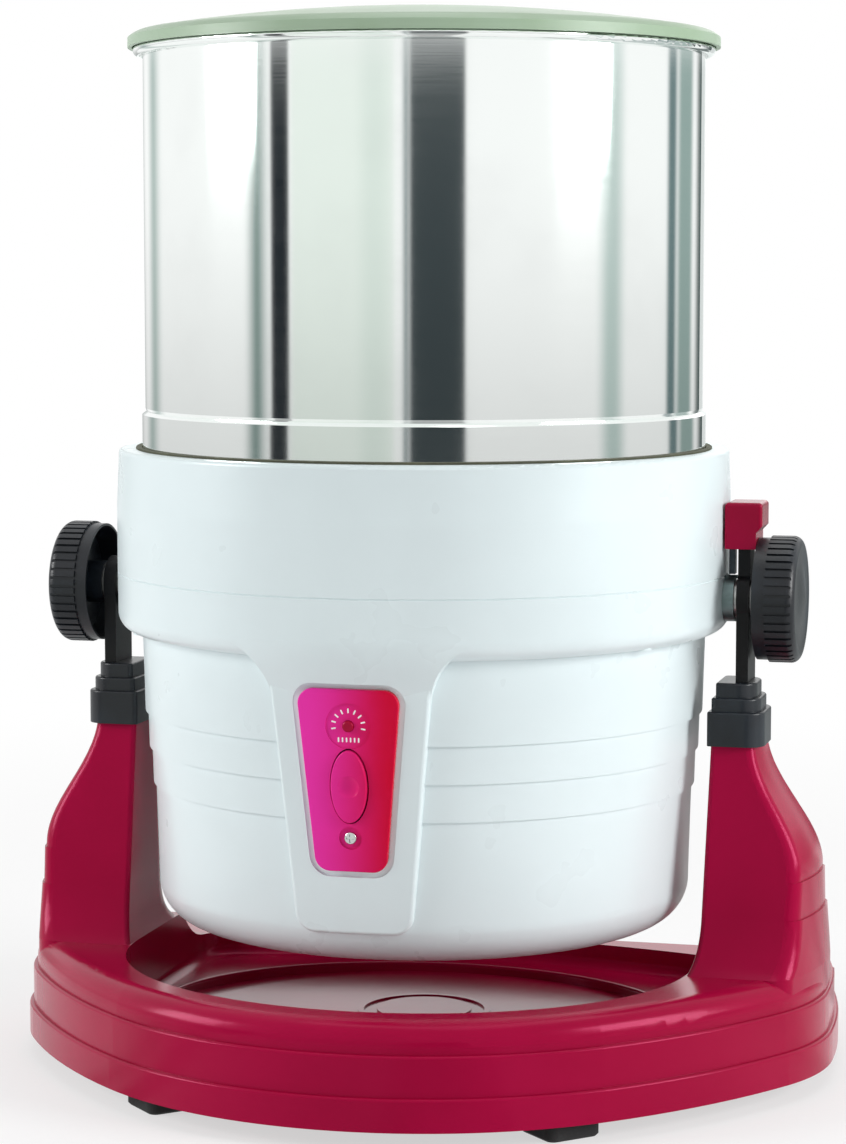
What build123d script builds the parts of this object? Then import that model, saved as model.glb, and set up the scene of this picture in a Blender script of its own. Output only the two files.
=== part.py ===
from build123d import *
import math
import os

# Tilting tabletop wet grinder
# Millimetres, Z up, floor at Z = 0, drum axis on Z, front towards -Y.

os.makedirs("parts", exist_ok=True)

# Clearances
seat_gap = 0.3       # air between pieces that lie side by side
slide_fit = 0.1      # each side of a bar in its slot
run_fit = 0.06       # radial, round anything that turns or is screwed in
overrun = 1.0        # how far cuts run past a face

# Heights that several pieces share
foot_height = 8.0
deck_top = 22.0
tray_top = 49.0
arm_top = 139.0
pivot_height = 198.0
shell_seam = 207.0
shell_top = 257.6
drum_bottom = 236.0
rim_top = 421.8

# Turning parts that others are set against
drum_band_radius = 116.3
shell_radius = 127.0
spindle_radius = 8.0
stud_radius = 4.0


def add_ring(plane, outer_radius, inner_radius, length, mode=Mode.ADD):
    """Stands a tube, or a disc where the inner radius is 0, on a plane of the part being built."""
    with BuildSketch(plane) as section:
        Circle(outer_radius)
        if inner_radius > 0:
            Circle(inner_radius, mode=Mode.SUBTRACT)
    extrude(section.sketch, amount=length, mode=mode)


def add_box(low, high, mode=Mode.ADD):
    """Adds a box between two corners to the part being built."""
    size = [high[i] - low[i] for i in range(3)]
    middle = [(high[i] + low[i]) / 2 for i in range(3)]
    with Locations(tuple(middle)):
        Box(*size, mode=mode)


def four_corners(x, y):
    """The four places that lie the same way to both middle planes."""
    return [(side * x, end * y) for side in (-1, 1) for end in (-1, 1)]


# Tray outline: a bowed nose, flanks widest beside the arms and a flat back
tray_half_depth = 150.0
tray_half_width = 172.0
widest_y = 3.0
shoulder_x = 100.0
shoulder_y = 112.7
cheek_x = 160.0
cheek_y = 41.0
rear_cheek_x = 156.0
rear_cheek_y = 105.0
rear_corner_x = 94.0

with BuildSketch() as tray_outline:
    with BuildLine():
        nose = TangentArc((0, -tray_half_depth), (shoulder_x, -shoulder_y), tangent=(1, 0))
        cheek = TangentArc(nose @ 1, (cheek_x, -cheek_y), tangent=nose % 1)
        flank = TangentArc(cheek @ 1, (tray_half_width, widest_y), tangent=cheek % 1)
        rear_flank = TangentArc(flank @ 1, (rear_cheek_x, rear_cheek_y), tangent=flank % 1)
        rear_corner = TangentArc(rear_flank @ 1, (rear_corner_x, tray_half_depth), tangent=rear_flank % 1)
        Line(rear_corner @ 1, (0, tray_half_depth))
        mirror(about=Plane.YZ)
    make_face()


def inset_outline(amount):
    """The tray outline drawn in by an amount."""
    return offset(tray_outline.sketch, amount=-amount, mode=Mode.PRIVATE)


# Well outline: half an ellipse in front, straight beside the arms, a shallow bow behind
well_half_width = 118.0
well_centre_y = -26.0
well_front_length = 102.5
well_side_end_y = 70.0
well_rear_y = 89.0
well_corner_round = 18.0


def well_outline(margin):
    """The outline of the well, drawn out by a margin."""
    half_width = well_half_width + margin
    with BuildSketch() as outline:
        with BuildLine():
            front = EllipticalCenterArc(
                (0, well_centre_y), half_width, well_front_length + margin, start_angle=270, arc_size=90,
            )
            side = Line(front @ 1, (half_width, well_side_end_y + margin))
            TangentArc((0, well_rear_y + margin), side @ 1, tangent=(1, 0))
            mirror(about=Plane.YZ)
        make_face()
        fillet(
            outline.vertices().group_by(Axis.X)[-1].sort_by(Axis.Y)[-1], radius=well_corner_round + margin
        )
        fillet(outline.vertices().group_by(Axis.X)[0].sort_by(Axis.Y)[-1], radius=well_corner_round + margin)
    return outline.sketch


# Arms that rise from the tray
arm_inner = 121.5            # inner face above the flared foot
arm_inner_lean_share = 0.017
arm_half_depth = 31.0
arm_narrowing_share = 0.1944
arm_bow = 4.6                # how far the outer face curves back at its edges
arm_skew = 3.2               # the front edge lies further in than the back edge
arm_outer_round = 8.0
arm_inner_round = 2.0
arm_rear_inner_round = 20.0
arm_flare_depth = 7.0        # how much deeper the arm is where it meets the tray
arm_flare_shares = ((0.27, 0.4), (0.59, 0.1))    # of the way to the lower step, and of the flare there
lower_step_height = 71.0
upper_step_height = 86.0
arm_step = 0.8
arm_foot_outer = 168.4
arm_lower_outer = 166.9
arm_middle_outer = 165.8
arm_shoulder_height = 101.0
arm_shoulder_outer = 161.5
arm_slope_height = 117.0
arm_slope_outer = 152.0
arm_neck_height = 130.0
arm_neck_outer = 145.0
arm_top_outer = 142.5
arm_wall = 3.0
arm_block_bottom = 104.0     # solid above this, so that the brackets have a seat


def arm_level(height, outer, inset=0.0, flare_share=0.0):
    """A level cut through the right arm, drawn in where it is a hollow and drawn out at the flared foot."""
    rise = max(height - tray_top, 0)
    half_depth = arm_half_depth - arm_narrowing_share * rise + arm_flare_depth * flare_share
    width_share = half_depth / arm_half_depth
    inner_x = arm_inner + arm_inner_lean_share * rise + inset - (arm_inner - well_half_width) * flare_share
    outer_x = outer - inset
    edge_x = outer_x - arm_bow * width_share ** 2
    skew = arm_skew * width_share
    y = half_depth - inset
    with BuildSketch(Plane.XY.offset(height)) as level:
        with BuildLine():
            face = ThreePointArc((edge_x - skew, -y), (outer_x, 0), (edge_x + skew, y))
            Polyline(face @ 1, (inner_x, y), (inner_x, -y), face @ 0)
        make_face()
        fillet(level.vertices().sort_by(Axis.X)[2:], radius=arm_outer_round * width_share)
        fillet(level.vertices().sort_by(Axis.X)[:2].sort_by(Axis.Y)[0], radius=arm_inner_round)
        rear_corner = level.vertices().sort_by(Axis.X)[:3].sort_by(Axis.Y)[-1]
        fillet(rear_corner, radius=arm_rear_inner_round * min(width_share, 1) ** 2)
    return level.sketch


# Brackets, set here because the arms are cut to take them
bracket_inner = 132.5
bracket_thickness = 5.0
bracket_half_width = 10.0
bracket_outer = bracket_inner + bracket_thickness
bracket_foot_outer = 152.0
bracket_foot_thickness = 4.0
bracket_screw_x = 146.5
bracket_screw_y = 5.5
bracket_screw_radius = 2.0
bracket_screw_depth = 10.0
bracket_screw_places = four_corners(bracket_screw_x, bracket_screw_y)

# Spigot on each arm that the collar sits over
spigot_inner = 124.5
spigot_outer = 141.0
spigot_half_depth = 12.5
spigot_height = 10.0

with BuildPart() as arm:
    foot_levels = [arm_level(tray_top, arm_foot_outer, flare_share=1.0)]
    for rise_share, flare_share in arm_flare_shares:
        level_height = tray_top + rise_share * (lower_step_height - tray_top)
        level_outer = arm_foot_outer + rise_share * (arm_lower_outer - arm_foot_outer)
        foot_levels.append(arm_level(level_height, level_outer, flare_share=flare_share))
    foot_levels.append(arm_level(lower_step_height, arm_lower_outer))
    loft(sections=foot_levels)
    loft(sections=[arm_level(deck_top, arm_foot_outer, flare_share=1.0), foot_levels[0]])
    loft(sections=[
        arm_level(lower_step_height, arm_lower_outer - arm_step),
        arm_level(upper_step_height, arm_middle_outer),
    ])
    loft(sections=[
        arm_level(upper_step_height, arm_middle_outer - arm_step),
        arm_level(arm_shoulder_height, arm_shoulder_outer),
        arm_level(arm_slope_height, arm_slope_outer),
        arm_level(arm_neck_height, arm_neck_outer),
        arm_level(arm_top, arm_top_outer),
    ])
    add_box(
        (spigot_inner, -spigot_half_depth, arm_top),
        (spigot_outer, spigot_half_depth, arm_top + spigot_height),
    )

with BuildPart() as arm_hollow:
    loft(sections=[
        arm_level(foot_height - overrun, arm_foot_outer, arm_wall),
        arm_level(tray_top, arm_foot_outer, arm_wall),
        arm_level(arm_block_bottom, arm_shoulder_outer - arm_step, arm_wall),
    ], ruled=True)
    add_box(
        (bracket_inner - slide_fit, -bracket_half_width - slide_fit, arm_block_bottom - overrun),
        (bracket_outer + slide_fit, bracket_half_width + slide_fit, arm_top + spigot_height + overrun),
    )
    for end in (-1, 1):
        hole_plane = Plane((bracket_screw_x, end * bracket_screw_y, arm_block_bottom - overrun))
        add_ring(hole_plane, bracket_screw_radius + run_fit, 0, bracket_screw_depth + 2 * overrun)

# Tray bands, well and drip dish
lower_band_top = 21.0
middle_band_top = 37.0
band_inset = 1.8
band_round = 1.2
lip_round = 9.0
tray_wall = 3.0
well_round = 5.0
deck_thickness = 5.5
slope_start_y = 32.0         # behind the arms the rim sweeps down to the low rear rim
slope_end_y = 66.0
rear_rim_back_y = 94.0
rear_rim_top = 33.0
tail_top = 17.0              # behind the rear rim the tray falls away to its back edge
dish_centre_y = -14.0
dish_half_width = 110.0
dish_half_depth = 88.0
dish_depth = 2.5
bead_width = 3.0
bead_height = 1.5
bead_round = 1.2
pad_radius = 20.0
pad_height = 1.2
pad_ring_radius = 28.0
pad_ring_width = 2.5
pad_ring_height = 0.8

# Feet stand cornerwise under the tray
foot_x = 80.0
foot_y = 103.0
foot_side = 24.0
foot_round = 4.0
foot_edge = 1.0
foot_boss_radius = 10.0
foot_screw_radius = 2.0
foot_screw_head_radius = 3.9
foot_screw_head_height = 2.2
foot_recess_depth = 3.0
foot_recess_radius = 4.3
foot_screw_length = 11.0
foot_places = four_corners(foot_x, foot_y)


def tail_height(y):
    """Height of the tray's tail at a distance behind the middle."""
    fall_share = (y - rear_rim_back_y) / (tray_half_depth - rear_rim_back_y)
    return rear_rim_top - (rear_rim_top - tail_top) * fall_share


def rear_slope(drop):
    """The space over the low rear of the tray, lowered by an amount."""
    with BuildSketch(Plane.YZ) as profile:
        with BuildLine():
            start = (slope_start_y - drop, tray_top - drop)
            sweep_end = (slope_end_y - drop, rear_rim_top - drop)
            Spline(start, sweep_end, tangents=[(1, -1), (1, 0)])
            Polyline(
                sweep_end,
                (rear_rim_back_y - drop, rear_rim_top - drop),
                (tray_half_depth - drop, tail_top - drop),
                (tray_half_depth + overrun, tail_top - drop),
                (tray_half_depth + overrun, tray_top + overrun),
                (slope_start_y - drop, tray_top + overrun),
                start,
            )
        make_face()
    return extrude(profile.sketch, amount=tray_half_width + overrun, both=True, mode=Mode.PRIVATE)


with BuildPart() as tray_well:
    with BuildSketch(Plane.XY.offset(deck_top)):
        add(well_outline(0))
    extrude(amount=tray_top - deck_top + overrun)
    fillet(edges().group_by(Axis.Z)[0], radius=well_round)

with BuildPart() as tray_hollow:
    with BuildSketch(Plane.XY.offset(foot_height - overrun)):
        add(inset_outline(2 * band_inset + tray_wall))
        add(well_outline(tray_wall), mode=Mode.SUBTRACT)
    extrude(amount=tray_top - 2 * tray_wall - foot_height + overrun)
    with BuildSketch(Plane.XY.offset(foot_height - overrun)):
        add(inset_outline(tray_wall))
    extrude(amount=deck_top - deck_thickness - foot_height + overrun)
    add(rear_slope(tray_wall), mode=Mode.SUBTRACT)
    add(arm_hollow.part)
    mirror(arm_hollow.part, about=Plane.YZ)

with BuildPart() as stand_base:
    with BuildSketch(Plane.XY.offset(foot_height)):
        add(tray_outline.sketch)
    extrude(amount=lower_band_top - foot_height)
    fillet(edges().group_by(Axis.Z)[-1], radius=band_round)
    with BuildSketch(Plane.XY.offset(lower_band_top)):
        add(inset_outline(band_inset))
    extrude(amount=middle_band_top - lower_band_top)
    fillet(edges().group_by(Axis.Z)[-1], radius=band_round)
    with BuildSketch(Plane.XY.offset(middle_band_top)):
        add(inset_outline(2 * band_inset))
    extrude(amount=tray_top - middle_band_top)
    fillet(edges().group_by(Axis.Z)[-1], radius=lip_round)
    add(rear_slope(0), mode=Mode.SUBTRACT)
    add(arm.part)
    mirror(arm.part, about=Plane.YZ)
    add(tray_well.part, mode=Mode.SUBTRACT)
    add(tray_hollow.part, mode=Mode.SUBTRACT)
    # Screw bosses that the feet bear on
    for x, y in foot_places:
        boss_top = deck_top - deck_thickness if y < 0 else tail_height(y + foot_boss_radius) - tray_wall / 2
        add_ring(Plane((x, y, foot_height)), foot_boss_radius, 0, boss_top - foot_height)
    with BuildSketch(Plane.XY.offset(foot_height)):
        with Locations(foot_places):
            Circle(foot_screw_radius + run_fit)
    extrude(amount=foot_screw_length + foot_recess_depth + overrun - foot_height, mode=Mode.SUBTRACT)
    # Raised bead round the drip dish, and the round pad in its middle
    with BuildSketch(Plane.XY.offset(deck_top)):
        with Locations((0, dish_centre_y)):
            Ellipse(dish_half_width - bead_width / 2, dish_half_depth - bead_width / 2)
    extrude(amount=-dish_depth, mode=Mode.SUBTRACT)
    with BuildSketch(Plane.XY.offset(deck_top)):
        with Locations((0, dish_centre_y)):
            Ellipse(dish_half_width + bead_width / 2, dish_half_depth + bead_width / 2)
            Ellipse(dish_half_width - bead_width / 2, dish_half_depth - bead_width / 2, mode=Mode.SUBTRACT)
    bead = extrude(amount=bead_height)
    fillet(bead.edges().group_by(Axis.Z)[-1], radius=bead_round)
    dish_plane = Plane.XY.offset(deck_top - dish_depth)
    add_ring(dish_plane, pad_radius, 0, pad_height)
    add_ring(dish_plane, pad_ring_radius, pad_ring_radius - pad_ring_width, pad_ring_height)
stand_base.part.label = "stand_base"
export_step(stand_base.part, "parts/stand_base.step")

with BuildPart() as base_feet:
    with BuildSketch():
        with Locations(foot_places):
            Rectangle(foot_side, foot_side, rotation=45)
        fillet(vertices(), radius=foot_round)
    extrude(amount=foot_height)
    chamfer(edges().group_by(Axis.Z)[0], length=foot_edge)
    with BuildSketch():
        with Locations(foot_places):
            Circle(foot_recess_radius)
    extrude(amount=foot_recess_depth, mode=Mode.SUBTRACT)
    with BuildSketch():
        with Locations(foot_places):
            Circle(foot_screw_radius + run_fit)
    extrude(amount=foot_height, mode=Mode.SUBTRACT)
base_feet.part.label = "base_feet"
export_step(base_feet.part, "parts/base_feet.step")

# Foot screws go up into the tray, bracket screws into the arms
bracket_screw_head_radius = 3.5
bracket_screw_head_height = 2.6

with BuildPart() as stand_screws:
    for x, y in foot_places:
        head_top = Plane((x, y, foot_recess_depth))
        add_ring(head_top, foot_screw_head_radius, 0, -foot_screw_head_height)
        add_ring(head_top, foot_screw_radius, 0, foot_screw_length)
    for x, y in bracket_screw_places:
        head_top = Plane((x, y, arm_block_bottom - bracket_foot_thickness))
        add_ring(head_top, bracket_screw_head_radius, 0, -bracket_screw_head_height)
        add_ring(head_top, bracket_screw_radius, 0, bracket_foot_thickness + bracket_screw_depth)
stand_screws.part.label = "stand_screws"
export_step(stand_screws.part, "parts/stand_screws.step")

# Stepped collars on the arms
collar_inner = 121.7
collar_outer = 144.5
collar_half_depth = 16.0
collar_inner_step = 1.5      # each tier starts further from the head than the one below
collar_outer_step = 1.8
collar_depth_step = 1.6
collar_top = 153.0
collar_middle_top = 158.5
collar_upper_top = 164.5
collar_outer_round = 8.0
collar_inner_round = 2.0
collar_edge_round = 0.9

with BuildPart() as right_collar:
    tier_bottom = arm_top
    for tier, tier_top in enumerate((collar_top, collar_middle_top, collar_upper_top)):
        inner_x = collar_inner + tier * collar_inner_step
        outer_x = collar_outer - tier * collar_outer_step
        half_depth = collar_half_depth - tier * collar_depth_step
        with BuildSketch(Plane.XY.offset(tier_bottom)) as tier_outline:
            with Locations(((inner_x + outer_x) / 2, 0)):
                Rectangle(outer_x - inner_x, 2 * half_depth)
            fillet(tier_outline.vertices().sort_by(Axis.X)[2:], radius=collar_outer_round)
            fillet(tier_outline.vertices().sort_by(Axis.X)[:2], radius=collar_inner_round)
        extrude(amount=tier_top - tier_bottom)
        fillet(edges().group_by(Axis.Z)[-1], radius=collar_edge_round)
        tier_bottom = tier_top
    add_box(
        (spigot_inner - slide_fit, -spigot_half_depth - slide_fit, arm_top - overrun),
        (spigot_outer + slide_fit, spigot_half_depth + slide_fit, arm_top + spigot_height + slide_fit),
        mode=Mode.SUBTRACT,
    )
    add_box(
        (bracket_inner - slide_fit, -bracket_half_width - slide_fit, arm_top),
        (bracket_outer + slide_fit, bracket_half_width + slide_fit, collar_upper_top + overrun),
        mode=Mode.SUBTRACT,
    )
right_collar.part.label = "right_collar"
export_step(right_collar.part, "parts/right_collar.step")

with BuildPart() as left_collar:
    mirror(right_collar.part, about=Plane.YZ)
left_collar.part.label = "left_collar"
export_step(left_collar.part, "parts/left_collar.step")

# Flat steel brackets that carry the head at its pivots
bracket_eye_radius = 11.2
stud_bearing_fit = 0.08
stem_top = 224.0
stem_half_width = 6.0
stem_round = 2.0

with BuildPart() as left_bracket:
    with BuildSketch(Plane.YZ.offset(-bracket_outer)):
        bar_bottom = arm_block_bottom - bracket_foot_thickness
        with Locations((0, (bar_bottom + pivot_height) / 2)):
            Rectangle(2 * bracket_half_width, pivot_height - bar_bottom)
        with Locations((0, pivot_height)):
            Circle(bracket_eye_radius)
            Circle(stud_radius + stud_bearing_fit, mode=Mode.SUBTRACT)
    extrude(amount=bracket_thickness)
    add_box(
        (-bracket_foot_outer, -bracket_half_width, bar_bottom),
        (-bracket_inner, bracket_half_width, arm_block_bottom),
    )
    for end in (-1, 1):
        hole_plane = Plane((-bracket_screw_x, end * bracket_screw_y, bar_bottom))
        add_ring(hole_plane, bracket_screw_radius + run_fit, 0, bracket_foot_thickness, mode=Mode.SUBTRACT)
left_bracket.part.label = "left_bracket"
export_step(left_bracket.part, "parts/left_bracket.step")

with BuildPart() as right_bracket:
    mirror(left_bracket.part, about=Plane.YZ)
    with BuildSketch(Plane.YZ.offset(bracket_inner)) as stem:
        with Locations((0, (pivot_height + stem_top) / 2)):
            Rectangle(2 * stem_half_width, stem_top - pivot_height)
        fillet(stem.vertices().sort_by(Axis.Y)[2:], radius=stem_round)
        with Locations((0, pivot_height)):
            Circle(stud_radius + stud_bearing_fit, mode=Mode.SUBTRACT)
    extrude(amount=bracket_thickness)
right_bracket.part.label = "right_bracket"
export_step(right_bracket.part, "parts/right_bracket.step")

# Tilt lock: the cap slides on the stem and pushes a tongue into the pivot boss
lock_travel = 2.4
cap_inner = 127.6
cap_waist_outer = 140.2
cap_outer = 142.6
cap_half_depth = 10.0
cap_bottom = 218.7
cap_waist = 225.4
cap_top = 237.5
cap_round = 3.0
cap_top_round = 1.6
tongue_inner = 128.3
tongue_outer = 130.7
tongue_half_width = 2.5
tongue_bottom = 207.9
tongue_top = 231.0
cap_skirt_slope_share = 1.08

with BuildPart() as lock_cap:
    with BuildSketch(Plane.XZ.offset(-cap_half_depth)):
        flare_top = cap_waist + (cap_outer - cap_waist_outer) * cap_skirt_slope_share
        with BuildLine():
            Polyline(
                (cap_inner, cap_bottom),
                (cap_waist_outer, cap_bottom),
                (cap_waist_outer, cap_waist),
                (cap_outer, flare_top),
                (cap_outer, cap_top),
                (cap_inner, cap_top),
                close=True,
            )
        make_face()
    extrude(amount=2 * cap_half_depth)
    front_edges = edges().filter_by(Axis.Z).filter_by(
        lambda edge: edge.center().X > cap_waist_outer + seat_gap
    )
    fillet(front_edges, radius=cap_round / 2)
    fillet(edges().group_by(Axis.Z)[-1], radius=cap_top_round)
    add_box(
        (tongue_inner - slide_fit, -tongue_half_width - slide_fit, cap_bottom - overrun),
        (tongue_outer + slide_fit, tongue_half_width + slide_fit, tongue_top + slide_fit),
        mode=Mode.SUBTRACT,
    )
    add_box(
        (bracket_inner - slide_fit, -stem_half_width - slide_fit, cap_bottom - overrun),
        (bracket_outer + slide_fit, stem_half_width + slide_fit, stem_top + lock_travel + seat_gap),
        mode=Mode.SUBTRACT,
    )
lock_cap.part.label = "lock_cap"
export_step(lock_cap.part, "parts/lock_cap.step")

with BuildPart() as lock_tongue:
    add_box((tongue_inner, -tongue_half_width, tongue_bottom), (tongue_outer, tongue_half_width, tongue_top))
lock_tongue.part.label = "lock_tongue"
export_step(lock_tongue.part, "parts/lock_tongue.step")

# Pivots: a boss bears on the chassis ear inside and shows outside the shell
ear_inner = 111.0
ear_thickness = 3.0
ear_half_width = 14.0
ear_bottom = 187.0
ear_top = 209.5
boss_radius = 9.6
boss_outer = 131.0
notch_half_width = 3.0
notch_floor = 5.0            # height of the notch floor over the pivot axis
tilt_limit = 100.0           # degrees
stud_head_radius = 6.0
stud_head_thickness = 4.0
stud_end = 150.5
washer_radius = 8.0
washer_play = 0.05
ear_outer = ear_inner + ear_thickness

with BuildPart() as pivot_bosses:
    for side in (-1, 1):
        ear_plane = Plane((side * ear_outer, 0, pivot_height), z_dir=(side, 0, 0))
        add_ring(ear_plane, boss_radius, stud_radius + run_fit, boss_outer - ear_outer)
    # One notch takes the tongue with the head upright, the other with it tipped
    for angle in (0, tilt_limit):
        direction = Vector(0, math.sin(math.radians(angle)), math.cos(math.radians(angle)))
        floor_point = Vector(tongue_inner - overrun, 0, pivot_height) + direction * notch_floor
        notch_plane = Plane(floor_point, x_dir=(1, 0, 0), z_dir=direction)
        with BuildSketch(notch_plane):
            with Locations(((boss_outer - tongue_inner + 2 * overrun) / 2, 0)):
                Rectangle(boss_outer - tongue_inner + 2 * overrun, 2 * notch_half_width)
        extrude(amount=boss_radius, mode=Mode.SUBTRACT)
pivot_bosses.part.label = "pivot_bosses"
export_step(pivot_bosses.part, "parts/pivot_bosses.step")

with BuildPart() as pivot_studs:
    for side in (-1, 1):
        ear_face = Plane((side * ear_inner, 0, pivot_height), z_dir=(side, 0, 0))
        with BuildSketch(ear_face):
            RegularPolygon(stud_head_radius, 6)
        extrude(amount=-stud_head_thickness)
        add_ring(ear_face, stud_radius, 0, stud_end - ear_inner)
pivot_studs.part.label = "pivot_studs"
export_step(pivot_studs.part, "parts/pivot_studs.step")

# Clamp knobs and their washers
knob_hub_start = 139.1
knob_hub_radius = 9.0
knob_lip_start = 140.5
knob_lip_radius = 24.8
knob_lip_wall = 1.0
knob_grip_start = 145.5
knob_grip_radius = 25.7
knob_grip_end = 154.0
knob_hollow_radius = 22.5
knob_web_start = 150.0
knob_edge_start_radius = 21.0
knob_face = 157.6
knob_crown = 159.0
groove_count = 44
groove_depth = 0.8
groove_width = 1.2
knob_bore_end = stud_end + seat_gap

with BuildPart() as clamp_washers:
    for side in (-1, 1):
        inner_plane = Plane((side * (boss_outer + washer_play), 0, pivot_height), z_dir=(side, 0, 0))
        add_ring(
            inner_plane, washer_radius, stud_radius + run_fit, bracket_inner - boss_outer - 2 * washer_play
        )
        outer_plane = Plane((side * (bracket_outer + washer_play), 0, pivot_height), z_dir=(side, 0, 0))
        add_ring(
            outer_plane, washer_radius, stud_radius + run_fit,
            knob_hub_start - bracket_outer - 2 * washer_play,
        )
clamp_washers.part.label = "clamp_washers"
export_step(clamp_washers.part, "parts/clamp_washers.step")

with BuildPart() as right_knob:
    pivot_plane = Plane((0, 0, pivot_height), x_dir=(1, 0, 0), z_dir=(0, -1, 0))
    with BuildSketch(pivot_plane):
        with BuildLine():
            rim = Polyline(
                (knob_bore_end, 0),
                (knob_bore_end, stud_radius + run_fit),
                (knob_hub_start, stud_radius + run_fit),
                (knob_hub_start, knob_hub_radius),
                (knob_web_start, knob_hub_radius),
                (knob_web_start, knob_hollow_radius),
                (knob_lip_start, knob_lip_radius - knob_lip_wall),
                (knob_lip_start, knob_lip_radius),
                (knob_grip_start, knob_lip_radius),
                (knob_grip_start, knob_grip_radius),
                (knob_grip_end, knob_grip_radius),
            )
            edge = TangentArc(rim @ 1, (knob_face, knob_edge_start_radius), tangent=(1, 0))
            Spline(edge @ 1, (knob_crown, 0), tangents=[edge % 1, (0, -1)])
            Line((knob_crown, 0), rim @ 0)
        make_face()
    revolve(axis=Axis((0, 0, pivot_height), (1, 0, 0)))
    with BuildSketch(Plane((knob_grip_start, 0, pivot_height), z_dir=(1, 0, 0))):
        with PolarLocations(knob_grip_radius, groove_count):
            Rectangle(2 * groove_depth, groove_width)
    extrude(amount=knob_face - knob_grip_start, mode=Mode.SUBTRACT)
right_knob.part.label = "right_knob"
export_step(right_knob.part, "parts/right_knob.step")

with BuildPart() as left_knob:
    mirror(right_knob.part, about=Plane.YZ)
left_knob.part.label = "left_knob"
export_step(left_knob.part, "parts/left_knob.step")

# Chassis plate and the screws that join it to both shells
shell_wall = 3.0
shell_inner_radius = shell_radius - shell_wall
ledge_inner_height = 186.0   # upper face of the ledge inside the lower shell
chassis_bottom = 196.0
chassis_thickness = 2.5
chassis_top = chassis_bottom + chassis_thickness
chassis_radius = shell_inner_radius - 2 * seat_gap
lower_post_ring = 118.5
lower_post_radius = 4.2
lower_post_turn = 30.0       # degrees from the pivot line
upper_post_ring = 120.2
upper_post_radius = 3.5
upper_post_turn = 60.0
small_screw_radius = 1.5
small_head_radius = 2.7
small_head_height = 1.8
small_screw_length = 10.0

# Bearing housing and bearings that carry the drum
sleeve_radius = 12.5
bearing_radius = 26.0
bearing_width = 9.0
housing_radius = 31.0
housing_bottom = 185.0
housing_top = 226.0
housing_flange_radius = 48.0
housing_flange_thickness = 4.0
housing_shoulder_radius = 23.0
lower_bearing_bottom = 187.0
upper_bearing_bottom = 214.0
housing_screw_ring = 40.0
shield_inner_radius = 16.0
shield_outer_radius = 22.5
shield_depth = 0.5

# Motor and its posts behind the drum axis
motor_y = 72.0
motor_radius = 32.0
motor_bottom = 80.0
motor_top = 158.0
motor_plate_thickness = 3.0
motor_shaft_radius = 4.0
motor_plate_top = motor_top + motor_plate_thickness
post_radius = 4.5
front_post_x = 40.0
front_post_y = 66.0
rear_post_x = 26.0
rear_post_y = 100.0
post_places = [
    (side * x, y) for side in (-1, 1) for x, y in ((front_post_x, front_post_y), (rear_post_x, rear_post_y))
]
post_bolt_radius = 2.0
post_bolt_head_radius = 3.6
post_bolt_head_height = 2.8

# Bridge that holds the foot of the fixed spindle
bridge_half_span = 66.0
bridge_thickness = 3.0
bridge_half_width = 12.0
bridge_top = 150.0
bridge_flange_end = 84.0
bridge_screw_x = 76.5
bridge_screw_y = 6.0
bridge_screw_places = four_corners(bridge_screw_x, bridge_screw_y)


def ring_places(radius, first_angle):
    """Four places on a circle, the same way to both middle planes."""
    angle = math.radians(first_angle)
    return four_corners(radius * math.cos(angle), radius * math.sin(angle))


lower_post_places = ring_places(lower_post_ring, lower_post_turn)
upper_post_places = ring_places(upper_post_ring, upper_post_turn)
housing_screw_places = ring_places(housing_screw_ring, 45)

with BuildPart() as chassis_plate:
    with BuildSketch(Plane.XY.offset(chassis_bottom)):
        Circle(chassis_radius)
        Circle(housing_radius + seat_gap, mode=Mode.SUBTRACT)
        for side in (-1, 1):
            head_room = (side * (ear_inner - stud_head_thickness / 2 - seat_gap), 0)
            with Locations(head_room):
                Rectangle(
                    stud_head_thickness + 2 * seat_gap, 2 * (stud_head_radius + overrun), mode=Mode.SUBTRACT
                )
            with Locations((side * (ear_outer + chassis_radius) / 2, 0)):
                Rectangle(
                    chassis_radius - ear_outer + overrun, 2 * (boss_radius + seat_gap), mode=Mode.SUBTRACT
                )
        with Locations(lower_post_places + upper_post_places + housing_screw_places + bridge_screw_places):
            Circle(small_screw_radius + run_fit, mode=Mode.SUBTRACT)
        with Locations(post_places):
            Circle(post_bolt_radius + run_fit, mode=Mode.SUBTRACT)
    extrude(amount=chassis_thickness)
    for side in (-1, 1):
        near_x, far_x = sorted((side * ear_inner, side * ear_outer))
        add_box((near_x, -ear_half_width, ear_bottom), (far_x, ear_half_width, ear_top))
        ear_plane = Plane((side * ear_inner, 0, pivot_height), z_dir=(side, 0, 0))
        add_ring(ear_plane, stud_radius + run_fit, 0, ear_thickness, mode=Mode.SUBTRACT)
chassis_plate.part.label = "chassis_plate"
export_step(chassis_plate.part, "parts/chassis_plate.step")

with BuildPart() as chassis_screws:
    housing_seat = chassis_top + housing_flange_thickness
    down_screws = [(lower_post_places, chassis_top, small_screw_length)]
    down_screws.append((bridge_screw_places, chassis_top, chassis_thickness + bridge_thickness))
    down_screws.append((housing_screw_places, housing_seat, housing_flange_thickness + chassis_thickness))
    for places, seat, length in down_screws:
        for x, y in places:
            add_ring(Plane((x, y, seat)), small_head_radius, 0, small_head_height)
            add_ring(Plane((x, y, seat)), small_screw_radius, 0, -length)
    for x, y in upper_post_places:
        add_ring(Plane((x, y, chassis_bottom)), small_head_radius, 0, -small_head_height)
        add_ring(Plane((x, y, chassis_bottom)), small_screw_radius, 0, small_screw_length)
chassis_screws.part.label = "chassis_screws"
export_step(chassis_screws.part, "parts/chassis_screws.step")

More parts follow.
